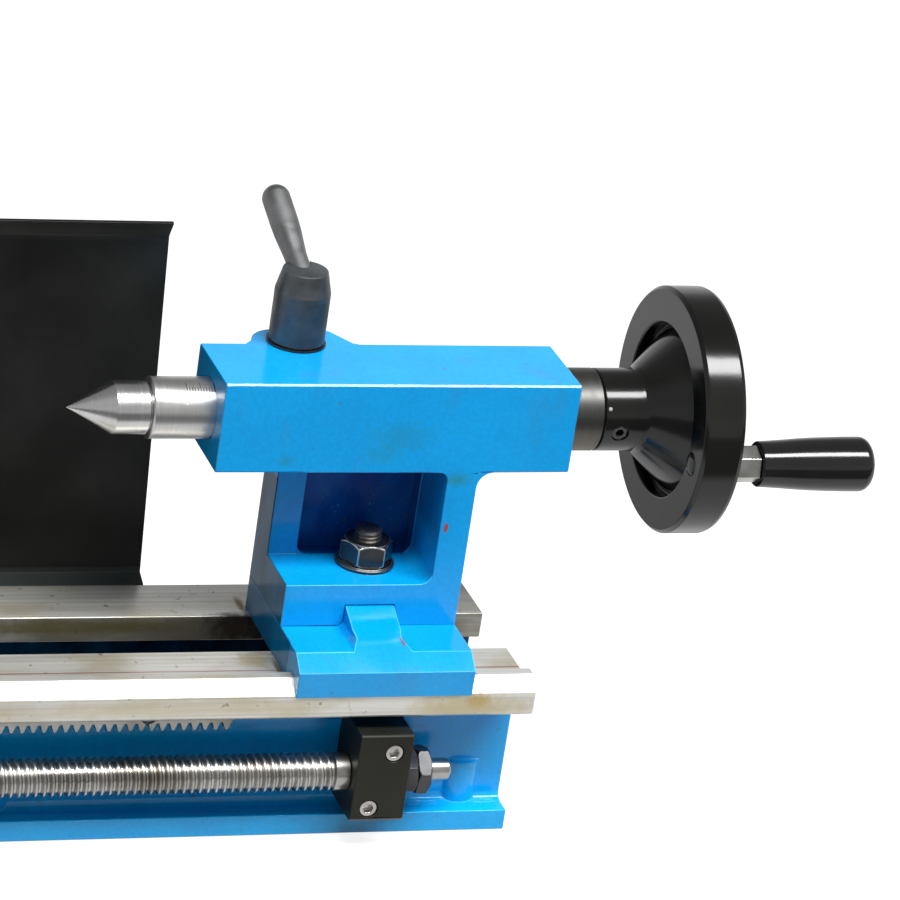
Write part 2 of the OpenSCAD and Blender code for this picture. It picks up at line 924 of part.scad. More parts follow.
module quill() {
    wall_x = quill_x1 - nut_l;
    color(steel)
        on_tailstock()
            difference() {
                union() {
                    along_x(quill_r - 0.5, quill_x0, quill_x0 + 0.5 + small, quill_r);
                    along_x(quill_r, quill_x0 + 0.5, quill_x1);
                }
                along_x(taper_d / 2, quill_x0 - small, quill_x0 + socket_l,
                    taper_d / 2 - socket_l * taper_rate / 2);
                along_x(screw_r + 0.6, quill_x0, quill_x1 + 1);
                along_x(nut_r + running, wall_x, quill_x1 + 1);
                translate([-4, -keyway_w / 2, -quill_r - 1])
                    cube([60, keyway_w, keyway_depth + 1]);
            }
}

module quill_nut() {
    color(bronze)
        on_tailstock()
            difference() {
                along_x(nut_r, quill_x1 - nut_l + 0.05, quill_x1);
                along_x(screw_r + running, quill_x1 - nut_l - 1, quill_x1 + 1);
            }
}

module dead_centre() {
    gap = 0.5;
    shank_l = 49;
    head_x = quill_x0 - gap;
    cone_x = head_x - 12.3;
    point_l = centre_d / 2 / tan(30);
    slip = 0.02;
    color(steel)
        on_tailstock() {
            along_x(taper_d / 2 - slip, head_x - small, quill_x0 + shank_l,
                taper_d / 2 - slip - shank_l * taper_rate / 2);
            along_x(centre_d / 2, cone_x, head_x - 0.4);
            along_x(centre_d / 2, head_x - 0.4 - small, head_x, centre_d / 2 - 0.4);
            along_x(0.15, cone_x - point_l + 0.25, cone_x + small, centre_d / 2);
        }
}

// Feed screw and handwheel

module feed_screw() {
    color(steel)
        on_tailstock() {
            along_x(screw_r - 0.8, screw_x0, screw_x0 + 0.8 + small, screw_r);
            along_x(screw_r, screw_x0 + 0.8, shaft_end_x - 0.6);
            along_x(screw_r, shaft_end_x - 0.6 - small, shaft_end_x, screw_r - 0.6);
            along_x(shoulder_r, shoulder_x - shoulder_l + 2, shoulder_x + 2);
        }
}

module thrust_washer() {
    color(bronze)
        on_tailstock()
            difference() {
                along_x(10.5, shoulder_x + 2, housing_l - 12);
                along_x(screw_r + 0.1, shoulder_x, housing_l);
            }
}

// Half section of the wheel: first number along the axis, second the radius
module wheel_section() {
    x0 = hub_x0;
    bore = screw_r + running;
    rim_edge = 1.3;
    web_x = 176.5;
    web_r = rim_in_r - 2.4;
    polygon([[x0 + 0.4, bore], [x0, bore + 0.4], [x0, hub_rr - 0.4], [x0 + 0.4, hub_rr],
        [hub_x1, hub_rr], [hub_x1 + 2.2, hub_rr + 1.2], [web_x - 1.5, web_r], [web_x, web_r + 0.8],
        [web_x, rim_in_r - 0.4], [web_x - 0.8, rim_in_r], [rim_x0 + 0.4, rim_in_r],
        [rim_x0, rim_in_r + 0.4], [rim_x0, wheel_r - rim_edge], [rim_x0 + rim_edge, wheel_r],
        [rim_x1 - 2, wheel_r], [rim_x1 - 0.6, wheel_r - 0.6], [rim_x1, wheel_r - 2],
        [rim_x1, rim_in_r + 1.6], [rim_x1 - 0.6, rim_in_r + 0.8], [web_x + 5, web_r],
        [web_x - 6, 13.5], [shaft_end_x, 11], [shaft_end_x, bore + 0.4], [shaft_end_x - 0.4, bore]]);
}

module at_handle() {
    rotate([handle_angle, 0, 0])
        translate([0, handle_r, 0])
            children();
}

module at_set_screw() {
    translate([set_screw_x, 0, 0])
        rotate([set_screw_angle, 0, 0])
            children();
}

module handwheel() {
    color(black_steel)
        on_tailstock()
            difference() {
                rotate([0, 90, 0])
                    rotate_extrude()
                        rotate(90)
                            mirror([0, 1])
                                wheel_section();
                at_handle()
                    along_x(spindle_r + running, rim_x0 - 1, rim_x1 + 1);
                at_set_screw()
                    along_y(3 + running, 0, hub_rr + 1);
            }
}

module hub_set_screw() {
    color(black_steel)
        on_tailstock()
            at_set_screw()
                difference() {
                    along_y(3, screw_r + 0.05, hub_rr - 0.7);
                    along_y(1.6, hub_rr - 3.5, hub_rr, $fn = 6);
                }
}

module handle_spindle() {
    color(steel)
        on_tailstock()
            at_handle() {
                along_x(spindle_r, rim_x0 + 0.1, grip_x0 + grip_l - 6);
                translate([rim_x1, 0, 0])
                    rotate([0, 90, 0])
                        rotate(-18)
                            hex(12, hex_l);
            }
}

module handle_grip() {
    end_r = 9.95;
    corner_r = 3.9;
    l = grip_l;
    color(black_steel)
        on_tailstock()
            at_handle()
                translate([grip_x0, 0, 0])
                    rotate([0, 90, 0])
                        rotate_extrude()
                            difference() {
                                union() {
                                    polygon([[0, 0], [7.9, 0], [8.25, 0.5], [8.6, l * 0.15],
                                        [9, l * 0.28], [9.4, l * 0.42], [9.7, l * 0.58],
                                        [end_r, l * 0.84], [end_r, l - corner_r],
                                        [end_r - corner_r, l], [0, l]]);
                                    translate([end_r - corner_r, l - corner_r])
                                        circle(corner_r);
                                }
                                translate([-10, -1])
                                    square([10 + spindle_r + running, l - 4]);
                                translate([-10, -1])
                                    square([10, l + 5]);
                            }
}

bed_casting();
rack();
rack_screws();
leadscrew_bracket();
bracket_screws();
leadscrew();
leadscrew_nuts();
splash_guard();
guard_screws();
tailstock_base();
clamp_stud();
clamp_plate();
clamp_washer();
clamp_nut();
set_over_screw();
tailstock_body();
body_screws();
bearing_flange();
flange_screw();
quill_guide_screw();
upper_cotter();
lower_cotter();
lock_washer();
lock_stud();
lock_hub();
lock_arm();
quill();
quill_nut();
dead_centre();
feed_screw();
thrust_washer();
handwheel();
hub_set_screw();
handle_spindle();
handle_grip();
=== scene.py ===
from math import ceil, cos, pi, radians, sin
import bpy
from mathutils import Euler, Matrix, Vector


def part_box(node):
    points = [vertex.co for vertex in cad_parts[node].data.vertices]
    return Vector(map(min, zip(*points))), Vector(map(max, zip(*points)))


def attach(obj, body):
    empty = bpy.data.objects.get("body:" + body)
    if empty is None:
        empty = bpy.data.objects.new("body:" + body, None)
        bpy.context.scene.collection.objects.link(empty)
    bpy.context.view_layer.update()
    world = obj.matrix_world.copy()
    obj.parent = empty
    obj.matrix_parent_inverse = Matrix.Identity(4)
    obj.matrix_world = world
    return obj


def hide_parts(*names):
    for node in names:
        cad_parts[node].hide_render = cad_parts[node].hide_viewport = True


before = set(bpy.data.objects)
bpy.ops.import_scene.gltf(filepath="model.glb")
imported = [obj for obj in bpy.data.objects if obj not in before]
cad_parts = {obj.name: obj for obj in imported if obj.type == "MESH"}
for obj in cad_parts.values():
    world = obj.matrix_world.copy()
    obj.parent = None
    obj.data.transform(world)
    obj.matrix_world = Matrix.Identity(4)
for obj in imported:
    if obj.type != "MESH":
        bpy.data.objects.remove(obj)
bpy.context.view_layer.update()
bpy.ops.object.select_all(action="DESELECT")


# The studio. A pale floor runs out past the picture on all sides, and the camera stands in front
# of the lathe and a little to its left, as the photographer did. One long lamp hangs over the
# front of the bed and draws the bright line along every shaft; the room's own light fills in.
def ramp(finish, source, *stops):
    """Turns a value into a colour, or a grey level, by stops of (place, colour)."""
    node = finish.node_tree.nodes.new("ShaderNodeValToRGB")
    scale = node.color_ramp
    while len(scale.elements) < len(stops):
        scale.elements.new(0.5)
    for element, (place, color) in zip(scale.elements, stops):
        element.position = place
        element.color = (*color, 1) if isinstance(color, tuple) else (color, color, color, 1)
    finish.node_tree.links.new(source, node.inputs[0])
    return node.outputs["Color"]


def plug(finish, value, socket):
    """Links a node's output to a socket, or sets the socket where the value is a plain one."""
    if isinstance(value, bpy.types.NodeSocket):
        finish.node_tree.links.new(value, socket)
    else:
        socket.default_value = (*value, 1) if isinstance(value, tuple) else value


def blend_color(finish, amount, under, over, mode="MIX"):
    """Lays one colour over another; any of the three may be a node's output or a plain value."""
    node = finish.node_tree.nodes.new("ShaderNodeMix")
    node.data_type = "RGBA"
    node.blend_type = mode
    plug(finish, amount, node.inputs["Factor"])
    plug(finish, under, node.inputs["A"])
    plug(finish, over, node.inputs["B"])
    return node.outputs["Result"]


def combine(finish, operation, first, second):
    """Two values put together by a Math node's operation."""
    node = finish.node_tree.nodes.new("ShaderNodeMath")
    node.operation = operation
    plug(finish, first, node.inputs[0])
    plug(finish, second, node.inputs[1])
    return node.outputs[0]


def times(finish, first, second):
    """The product of two values."""
    return combine(finish, "MULTIPLY", first, second)


mm = 0.001
bpy.context.scene.view_settings.view_transform = "Standard"
focal_length = 192.06
picture_shift = 0.0559
camera_at = Vector((-499.86, -1472.59, 821.06)) * mm
camera_turn = Euler((radians(66.2668), radians(-7.8743), radians(-17.1947)), "XYZ")
bpy.ops.object.camera_add(location=camera_at, rotation=camera_turn)
camera = bpy.context.object
camera.data.sensor_width = 36.0
camera.data.lens = focal_length
camera.data.shift_x = picture_shift
camera.data.clip_start = 0.05
bpy.context.scene.camera = camera

floor_radius = 6.0
floor_drop = 0.2
floor_grey = (0.25, 0.25, 0.25)
floor_glow = 0.85
bpy.ops.mesh.primitive_circle_add(vertices=64, radius=floor_radius, fill_type="NGON")
floor = bpy.context.object
floor.name = "floor"
floor.data.transform(Matrix.Translation((0, 0, -floor_drop * mm)))
floor_paint = bpy.data.materials.new("pale_floor")
floor_paint.use_nodes = True
nodes = floor_paint.node_tree.nodes
links = floor_paint.node_tree.links
shader = nodes["Principled BSDF"]
shader.inputs["Roughness"].default_value = 0.9
shader.inputs["Specular IOR Level"].default_value = 0.0
seen = nodes.new("ShaderNodeLightPath")
where = nodes.new("ShaderNodeTexCoord")
split = nodes.new("ShaderNodeSeparateXYZ")
links.new(where.outputs["Object"], split.inputs[0])
across = combine(floor_paint, "ADD", split.outputs["Y"], 0.5)
mirrored = ramp(floor_paint, across, (0.27, 0.18), (0.32, 1.0), (0.56, 1.0), (0.64, 0.45),
                (0.78, 0.5), (0.92, 0.8))
matt = blend_color(floor_paint, seen.outputs["Is Glossy Ray"], floor_grey, (0.0, 0.0, 0.0))
links.new(matt, shader.inputs["Base Color"])
glow = combine(floor_paint, "MAXIMUM",
               times(floor_paint, seen.outputs["Is Camera Ray"], floor_glow),
               times(floor_paint, seen.outputs["Is Glossy Ray"], mirrored))
shader.inputs["Emission Color"].default_value = (1, 1, 1, 1)
links.new(glow, shader.inputs["Emission Strength"])
floor.data.materials.append(floor_paint)

room_light = (0.2, 0.2, 0.205)
world = bpy.data.worlds.new("studio")
bpy.context.scene.world = world
world.use_nodes = True
nodes = world.node_tree.nodes
links = world.node_tree.links
way = nodes.new("ShaderNodeTexCoord")
split = nodes.new("ShaderNodeSeparateXYZ")
links.new(way.outputs["Generated"], split.inputs[0])
half_turn = nodes.new("ShaderNodeMapRange")
half_turn.inputs["From Min"].default_value = -1
links.new(split.outputs["Y"], half_turn.inputs["Value"])
front = ramp(world, split.outputs["Z"], (0.0, 0.6), (0.2, 0.58), (0.3, 0.5), (0.7, 0.48),
             (0.82, 0.3))
back = ramp(world, split.outputs["Z"], (0.0, 0.8), (0.25, 0.76), (0.36, 0.46), (0.55, 0.26))
side = ramp(world, half_turn.outputs["Result"], (0.42, 0.0), (0.58, 1.0))
room = blend_color(world, side, front, back)
seen = nodes.new("ShaderNodeLightPath")
light = blend_color(world, seen.outputs["Is Glossy Ray"], room_light, room)
links.new(light, nodes["Background"].inputs["Color"])
nodes["Background"].inputs["Strength"].default_value = 1.0

lamp_over = Vector((0.45, 0, 0.12))
lamp_away = 1.5
lamp_rise = radians(65)
lamp_at = lamp_over + Vector((0, -cos(lamp_rise), sin(lamp_rise))) * lamp_away
bpy.ops.object.light_add(type="AREA", location=lamp_at, rotation=(pi / 2 - lamp_rise, 0, 0))
lamp = bpy.context.object
lamp.name = "long_lamp"
lamp.data.shape = "RECTANGLE"
lamp.data.size = 1.7
lamp.data.size_y = 0.4
lamp.data.energy = 48


# The bed. It is an iron casting with blue enamel on its walls, feet and ribs. The two ways and the
# prism are ground bare after painting, and years of sliding and oil have streaked and stained them.
def as_piece(name, mesh):
    """A new object with this mesh, alone selected and active."""
    piece = bpy.data.objects.new(name, mesh)
    bpy.context.scene.collection.objects.link(piece)
    bpy.ops.object.select_all(action="DESELECT")
    bpy.context.view_layer.objects.active = piece
    piece.select_set(True)
    return piece


def apply(piece, kind, **settings):
    """Adds a modifier with these settings and applies it at once."""
    change = piece.modifiers.new(kind.lower(), kind)
    for key, value in settings.items():
        setattr(change, key, value)
    bpy.context.view_layer.objects.active = piece
    bpy.ops.object.modifier_apply(modifier=change.name)


def smooth(piece, edge, segments=2, sharp=30, edge_wear_and_highlight=-1, shade=36):
    """Breaks the piece's sharp edges by this width and shades it smooth between them.

    Where edge_wear_and_highlight is 1, the broken edges take the piece's second finish: worn
    metal on the nut and washer, and on the castings a lighter enamel that is a painted highlight."""
    if edge_wear_and_highlight > 0:
        piece.data.materials.append(None)
        piece.data.materials.append(None)
    if edge > 0:
        apply(piece, "BEVEL", width=edge * mm, segments=segments, limit_method="ANGLE",
              angle_limit=radians(sharp), use_clamp_overlap=False, material=edge_wear_and_highlight)
    bpy.ops.object.shade_smooth_by_angle(angle=radians(shade))
    apply(piece, "WEIGHTED_NORMAL", keep_sharp=True)


def copied(node, name, cuts=()):
    """A copy of a CAD node's solid with its triangles joined into whole faces.

    Cuts are the heights of level planes at which the faces are split."""
    piece = as_piece(name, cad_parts[node].data.copy())
    piece.data.materials.clear()
    bpy.ops.object.mode_set(mode="EDIT")
    bpy.ops.mesh.select_all(action="SELECT")
    bpy.ops.mesh.remove_doubles(threshold=0.002 * mm)
    bpy.ops.mesh.dissolve_limited(angle_limit=radians(0.6))
    for height in cuts:
        bpy.ops.mesh.select_all(action="SELECT")
        bpy.ops.mesh.bisect(plane_co=(0, 0, height), plane_no=(0, 0, 1), threshold=0.001 * mm)
    bpy.ops.mesh.select_all(action="SELECT")
    bpy.ops.mesh.vert_connect_concave()
    bpy.ops.mesh.customdata_custom_splitnormals_clear()
    bpy.ops.object.mode_set(mode="OBJECT")
    return piece


def settle(piece, body, slot, finishes, *nodes):
    """Gives the piece its finishes and hangs it on its body in place of these CAD nodes."""
    for number, finish in enumerate(finishes):
        if number < len(piece.data.materials):
            piece.data.materials[number] = finish
        else:
            piece.data.materials.append(finish)
    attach(piece, body)
    if nodes:
        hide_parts(*nodes)


def new_finish(name, color, roughness, metallic=0.0):
    """A Principled material with plain settings, to which the pattern nodes are added."""
    finish = bpy.data.materials.new(name)
    finish.use_nodes = True
    shader = finish.node_tree.nodes["Principled BSDF"]
    shader.inputs["Base Color"].default_value = (*color, 1)
    shader.inputs["Roughness"].default_value = roughness
    shader.inputs["Metallic"].default_value = metallic
    finish.diffuse_color = (*color, 1)
    return finish


def here(finish, stretch=(1, 1, 1), shift=(0, 0, 0)):
    """The object's own coordinates, stretched and shifted."""
    where = finish.node_tree.nodes.new("ShaderNodeTexCoord")
    turn = finish.node_tree.nodes.new("ShaderNodeMapping")
    turn.inputs["Scale"].default_value = stretch
    turn.inputs["Location"].default_value = shift
    finish.node_tree.links.new(where.outputs["Object"], turn.inputs["Vector"])
    return turn.outputs["Vector"]


def grain(finish, scale, stretch=(1, 1, 1), detail=4):
    """Noise in the object: scale is in waves a metre, stretch squeezes it by axis."""
    noise = finish.node_tree.nodes.new("ShaderNodeTexNoise")
    noise.inputs["Scale"].default_value = scale
    noise.inputs["Detail"].default_value = detail
    finish.node_tree.links.new(here(finish, stretch), noise.inputs["Vector"])
    return noise.outputs["Fac"]


def clouds(finish, scale, low, high, stretch=(1, 1, 1), detail=4):
    """Noise turned into a colour or a level between its (place, colour) stops low and high."""
    return ramp(finish, grain(finish, scale, stretch, detail), low, high)


def relief(finish, *layers):
    """Bump from (height, strength, depth in mm) layers, chained onto the shader."""
    nodes = finish.node_tree.nodes
    links = finish.node_tree.links
    before = None
    for height, strength, depth in layers:
        bump = nodes.new("ShaderNodeBump")
        bump.inputs["Strength"].default_value = strength
        bump.inputs["Distance"].default_value = depth * mm
        links.new(height, bump.inputs["Height"])
        if before is not None:
            links.new(before, bump.inputs["Normal"])
        before = bump.outputs["Normal"]
    links.new(before, nodes["Principled BSDF"].inputs["Normal"])


def feed(finish, source, socket):
    """Links a source to one of the shader's sockets."""
    finish.node_tree.links.new(source, finish.node_tree.nodes["Principled BSDF"].inputs[socket])


def overlay(finish, amount, color):
    """Lays a colour over the one the finish already has."""
    under = finish.node_tree.nodes["Principled BSDF"].inputs["Base Color"].links[0].from_socket
    feed(finish, blend_color(finish, amount, under, color), "Base Color")


def place_mask(finish, axis, start, end, soft):
    """1 between start and end along one axis, in mm, fading over soft mm at each side."""
    nodes = finish.node_tree.nodes
    links = finish.node_tree.links
    where = nodes.new("ShaderNodeTexCoord")
    split = nodes.new("ShaderNodeSeparateXYZ")
    links.new(where.outputs["Object"], split.inputs[0])
    rise = nodes.new("ShaderNodeMapRange")
    fall = nodes.new("ShaderNodeMapRange")
    for node, low, high in ((rise, start - soft, start), (fall, end + soft, end)):
        node.inputs["From Min"].default_value = low * mm
        node.inputs["From Max"].default_value = high * mm
        links.new(split.outputs[axis], node.inputs["Value"])
    return times(finish, rise.outputs["Result"], fall.outputs["Result"])


def spot(finish, place, half, fade):
    """1 inside an egg-shaped patch of these half-widths in mm, with a ragged edge."""
    ragged = 0.5
    nodes = finish.node_tree.nodes
    links = finish.node_tree.links
    away = nodes.new("ShaderNodeVectorMath")
    away.operation = "LENGTH"
    stretch = [1 / (size * mm) for size in half]
    shift = [-at / size for at, size in zip(place, half)]
    links.new(here(finish, stretch, shift), away.inputs[0])
    wobble = times(finish, grain(finish, 1.2 / (min(half) * mm), detail=3), 2 * ragged)
    inside = nodes.new("ShaderNodeMapRange")
    inside.inputs["From Min"].default_value = 1.1 + ragged
    inside.inputs["From Max"].default_value = 1.1 + ragged - fade
    links.new(combine(finish, "ADD", wobble, away.outputs["Value"]), inside.inputs["Value"])
    return inside.outputs["Result"]


def block(finish, low, high, soft):
    """1 inside a box given by its low and high corners in mm, fading over soft mm outside it."""
    return times(finish, place_mask(finish, "Z", low[2], high[2], soft),
                 times(finish, place_mask(finish, "X", low[0], high[0], soft),
                       place_mask(finish, "Y", low[1], high[1], soft)))


def make_enamel(name, tone, painted_light, patches=()):
    """Glossy blue enamel over rough casting: faint clouds, orange peel and a few brown specks.

    The painted_light boxes (low, high, soft, colour, strength) hold painted shade, and on the edge
    enamel painted highlight. Patches (place, half-widths, fade, colour, strength) are stains and
    chips."""
    light = (0.002 * tone, 0.36 * tone, min(1.0, 0.81 * tone))
    dark = (0.001 * tone, 0.325 * tone, min(0.95, 0.75 * tone))
    stain = (0.05, 0.22, 0.36)
    speck = (0.06, 0.11, 0.10)
    finish = new_finish(name, light, 0.22)
    color = clouds(finish, 28, (0.35, dark), (0.65, light), detail=3)
    sheen = (0.5, 0.5, 0.5)
    for low, high, soft, paint, strength in painted_light:
        uneven = clouds(finish, 70, (0.3, strength * 0.7), (0.65, strength), (1, 1, 0.5), 5)
        box_tint = times(finish, block(finish, low, high, soft), uneven)
        color = blend_color(finish, box_tint, color, paint)
        sheen = blend_color(finish, box_tint, sheen, (0.15, 0.15, 0.15))
    feed(finish, sheen, "Specular IOR Level")
    stained = times(finish, clouds(finish, 55, (0.60, 0.0), (0.75, 1.0), (1, 1, 0.6), 5), 0.30)
    color = blend_color(finish, stained, color, stain)
    specked = times(finish, clouds(finish, 230, (0.72, 0.0), (0.77, 1.0), detail=2), 0.6)
    color = blend_color(finish, specked, color, speck)
    mottle = clouds(finish, 650, (0.35, 0.7), (0.65, 1.0), detail=2)
    color = blend_color(finish, 0.3, color, mottle, "MULTIPLY")
    for place, half, fade, paint, strength in patches:
        patch = times(finish, spot(finish, place, half, fade), strength)
        color = blend_color(finish, patch, color, paint)
    feed(finish, color, "Base Color")
    feed(finish, clouds(finish, 60, (0.3, 0.12), (0.7, 0.2), detail=3), "Roughness")
    relief(finish, (grain(finish, 1100, detail=3), 0.22, 0.05),
           (grain(finish, 160, detail=2), 0.22, 0.25))
    return finish


def make_way_steel():
    """Ground and scraped steel: long streaks along X, oil stains, rust freckles and a red line,
    with painted shade in the gap between the ways.
    """
    finish = new_finish("ground_way", (0.6, 0.59, 0.55), 0.4, 0.6)
    dull = (0.56, 0.55, 0.51)
    bright = (0.80, 0.79, 0.74)
    color = clouds(finish, 60, (0.3, dull), (0.7, bright), (0.12, 12, 12), 5)
    oily = clouds(finish, 38, (0.48, 0.0), (0.68, 0.6), (0.8, 1.6, 1.6))
    color = blend_color(finish, oily, color, (0.47, 0.41, 0.25))
    rusty = clouds(finish, 300, (0.66, 0.0), (0.74, 0.7), detail=3)
    color = blend_color(finish, rusty, color, (0.17, 0.10, 0.05))
    # The first box darkens the rear way's front face with grime and painted shade; the second is
    # painted shade on the faces down in the gap between the ways; the third is the red line.
    shade_grime_and_line = (
        ((-200, 10, 40), (200, 26.2, 61.4), 0.4, (0.11, 0.10, 0.065), 0.8),
        ((-200, -26.6, 40), (200, 10, 61.4), 0.4, (0.03, 0.035, 0.04), 0.9),
        ((-200, -25.2, 61.5), (200, -24.5, 62.5), 0.15, (0.30, 0.05, 0.04), 0.75))
    for low, high, soft, shade_and_grime, strength in shade_grime_and_line:
        uneven = clouds(finish, 90, (0.3, strength * 0.6), (0.6, strength), (0.4, 1, 1))
        box_tint = times(finish, block(finish, low, high, soft), uneven)
        color = blend_color(finish, box_tint, color, shade_and_grime)
    stains = (
        ((12.4, 27, 62), (1.8, 7.0, 3), (0.10, 0.045, 0.018), 0.9),
        ((-55, 18, 58), (50, 4, 3.5), (0.20, 0.165, 0.05), 0.7),
        ((8, 18, 58), (13, 4, 9), (0.035, 0.022, 0.015), 0.85),
        ((6, -16, 62), (8, 8, 3), (0.36, 0.28, 0.11), 0.6),
        ((12.8, -24, 62), (1.6, 9.0, 4), (0.12, 0.08, 0.03), 0.8),
        ((84.6, -35.6, 58), (4.5, 1.6, 2.5), (0.03, 0.03, 0.03), 0.95),
        ((12.6, -35, 60), (1.6, 6, 5), (0.03, 0.025, 0.02), 0.9),
        ((82.5, -43.6, 58.5), (5, 2, 3.5), (0.5, 0.3, 0.04), 0.9),
        ((-30, -44, 57), (60, 4, 4), (0.55, 0.47, 0.27), 0.45),
        ((80, -44, 56), (26, 4, 6), (0.52, 0.43, 0.22), 0.7),
        ((5, -41, 58), (9, 3, 1.5), (0.45, 0.34, 0.16), 0.6))
    for place, half, stain, strength in stains:
        patch = times(finish, spot(finish, place, half, 0.7), strength)
        color = blend_color(finish, patch, color, stain)
    feed(finish, color, "Base Color")
    feed(finish, clouds(finish, 90, (0.3, 0.28), (0.7, 0.44), (0.3, 3, 3), 3), "Roughness")
    relief(finish, (grain(finish, 300, (0.03, 12, 12), 3), 0.25, 0.03),
           (grain(finish, 900, detail=2), 0.1, 0.03))
    return finish


# Between the walls, under the ways, the enamel is painted near-black: painted shade in the gap.
shade_between_walls = ((-200, -20, 0), (200, 28.2, 70), 0.3, (0.006, 0.008, 0.009), 0.98)
# The bed's enamel is the tailstock's blue made 1.3 times lighter: painted light on the bed's walls,
# which lie in the shade of the ways.
bed_enamel = make_enamel("bed_enamel", 1.3, (shade_between_walls,))
way_steel = make_way_steel()

way_under = 52.0
bed = copied("bed_casting", "bed", cuts=(way_under * mm,))
smooth(bed, 0.45, 3)
for face in bed.data.polygons:
    face.material_index = 1 if face.center.z > (way_under + 0.2) * mm else 0
settle(bed, "bed", "painted_casting", (bed_enamel, way_steel), "bed_casting")


# The rack. It is a plain steel bar with straight teeth cut in its lower edge, held to the front
# wall under the way by socket screws; grease has collected between the teeth.
def make_machined(name, color, roughness, dirt, along=(1, 1, 1)):
    """Machined metal with a film of oil and dirt, and cutter lines where along stretches them."""
    finish = new_finish(name, color, roughness, 1.0)
    darker = tuple(c * 0.7 for c in color)
    lines = clouds(finish, 120, (0.3, darker), (0.7, color), along)
    film = times(finish, clouds(finish, 45, (0.45, 0.0), (0.75, 1.0)), dirt)
    uneven = clouds(finish, 80, (0.3, roughness * 0.75), (0.7, roughness * 1.25), detail=3)
    feed(finish, blend_color(finish, film, lines, (0.12, 0.09, 0.05)), "Base Color")
    feed(finish, uneven, "Roughness")
    relief(finish, (grain(finish, 300, along, 3), 0.2, 0.03))
    return finish


def make_black_oxide(name, color, roughness):
    """Blackened steel: a thin dark oxide over bright metal, oily, with grey dust in places."""
    finish = new_finish(name, color, roughness, 0.9)
    lighter = tuple(c * 2.2 for c in color)
    uneven = clouds(finish, 150, (0.3, roughness * 0.8), (0.7, roughness * 1.25))
    feed(finish, clouds(finish, 70, (0.4, color), (0.75, lighter)), "Base Color")
    feed(finish, uneven, "Roughness")
    relief(finish, (grain(finish, 700, detail=3), 0.12, 0.03))
    return finish


rack_steel = make_machined("rack_steel", (0.46, 0.45, 0.42), 0.4, 0.7, (0.1, 8, 8))
black_oxide = make_black_oxide("black_oxide", (0.045, 0.046, 0.048), 0.26)
worn_edge = make_machined("worn_edge", (0.62, 0.6, 0.56), 0.34, 0.35)

rack = copied("rack", "rack_bar")
smooth(rack, 0.12, 1)
settle(rack, "bed", "bare_steel", (rack_steel,), "rack")
rack_screws = copied("rack_screws", "rack_cap_screws")
smooth(rack_screws, 0.2, 2)
settle(rack_screws, "bed", "black_steel", (black_oxide,), "rack_screws")


# The leadscrew's end bracket. It is a small iron block, painted black, that carries the end of the
# leadscrew on the front wall; two socket screws hold it, and their heads have rubbed bright.
def make_black_paint(name, color, roughness, sheen, wave=0.1, dust_and_sheen_gain=2.2):
    """Black paint on metal, lighter by dust_and_sheen_gain in clouds: dust, and painted reflections
    on the guard.
    """
    finish = new_finish(name, color, roughness)
    finish.node_tree.nodes["Principled BSDF"].inputs["Specular IOR Level"].default_value = sheen
    dust_and_sheen = tuple(c * dust_and_sheen_gain + 0.001 for c in color)
    uneven = clouds(finish, 50, (0.3, roughness * 0.85), (0.7, roughness * 1.2))
    feed(finish, clouds(finish, 22, (0.4, color), (0.8, dust_and_sheen), detail=5), "Base Color")
    feed(finish, uneven, "Roughness")
    relief(finish, (grain(finish, 700, detail=2), 0.12, 0.04),
           (grain(finish, 60, detail=3), wave, 0.2))
    return finish


black_iron = make_black_paint("black_iron", (0.009, 0.009, 0.006), 0.4, 0.22)
bare_screw = make_machined("bare_screw", (0.55, 0.53, 0.5), 0.28, 0.3)

bracket = copied("leadscrew_bracket", "leadscrew_end_bracket")
smooth(bracket, 0.45, 3)
settle(bracket, "bed", "black_iron", (black_iron,), "leadscrew_bracket")
bracket_screws = copied("bracket_screws", "bracket_cap_screws")
smooth(bracket_screws, 0.35, 2)
settle(bracket_screws, "bed", "bare_steel", (bare_screw,), "bracket_screws")


# The leadscrew. It is a long steel bar with a trapezoidal thread, which drives the carriage, and
# a plain journal with two thin nuts that take up its end play behind the bracket.
def threaded(name, start, end, radius, pitch, depth, flat, centre, steps=36):
    """A bar with a helical thread along +X from start to end, in mm, closed at both ends.

    Flat is the share of the pitch that is level at the crest, and again at the root."""
    level = flat * pitch
    flank = (pitch - 2 * level) / 2
    outline = [(0, radius - depth), (level, radius - depth), (level + flank, radius),
               (2 * level + flank, radius), (pitch, radius - depth)]
    mesh = bpy.data.meshes.new(name)
    points = [(0, r * mm, z * mm) for z, r in outline]
    mesh.from_pydata(points, [(i, i + 1) for i in range(len(points) - 1)], [])
    piece = as_piece(name, mesh)
    turns = ceil((end - start) / pitch) + 2
    apply(piece, "SCREW", axis="Z", angle=2 * pi, screw_offset=pitch * mm, iterations=turns,
          steps=steps, render_steps=steps, use_merge_vertices=True, merge_threshold=0.002 * mm)
    lay_down = Matrix.Rotation(pi / 2, 4, "Y")
    first_turn = centre + Vector((start - pitch * 1.007, 0, 0)) * mm
    piece.data.transform(Matrix.Translation(first_turn) @ lay_down)
    bpy.ops.object.mode_set(mode="EDIT")
    bpy.ops.mesh.select_all(action="SELECT")
    bpy.ops.mesh.remove_doubles(threshold=0.005 * mm)
    for place, side in ((start, -1), (end, 1)):
        bpy.ops.mesh.select_all(action="SELECT")
        bpy.ops.mesh.bisect(plane_co=centre + Vector((place, 0, 0)) * mm, plane_no=(side, 0, 0),
                            use_fill=True, clear_outer=True, threshold=0.001 * mm)
    bpy.ops.mesh.select_all(action="SELECT")
    bpy.ops.mesh.normals_make_consistent(inside=False)
    bpy.ops.object.mode_set(mode="OBJECT")
    return piece


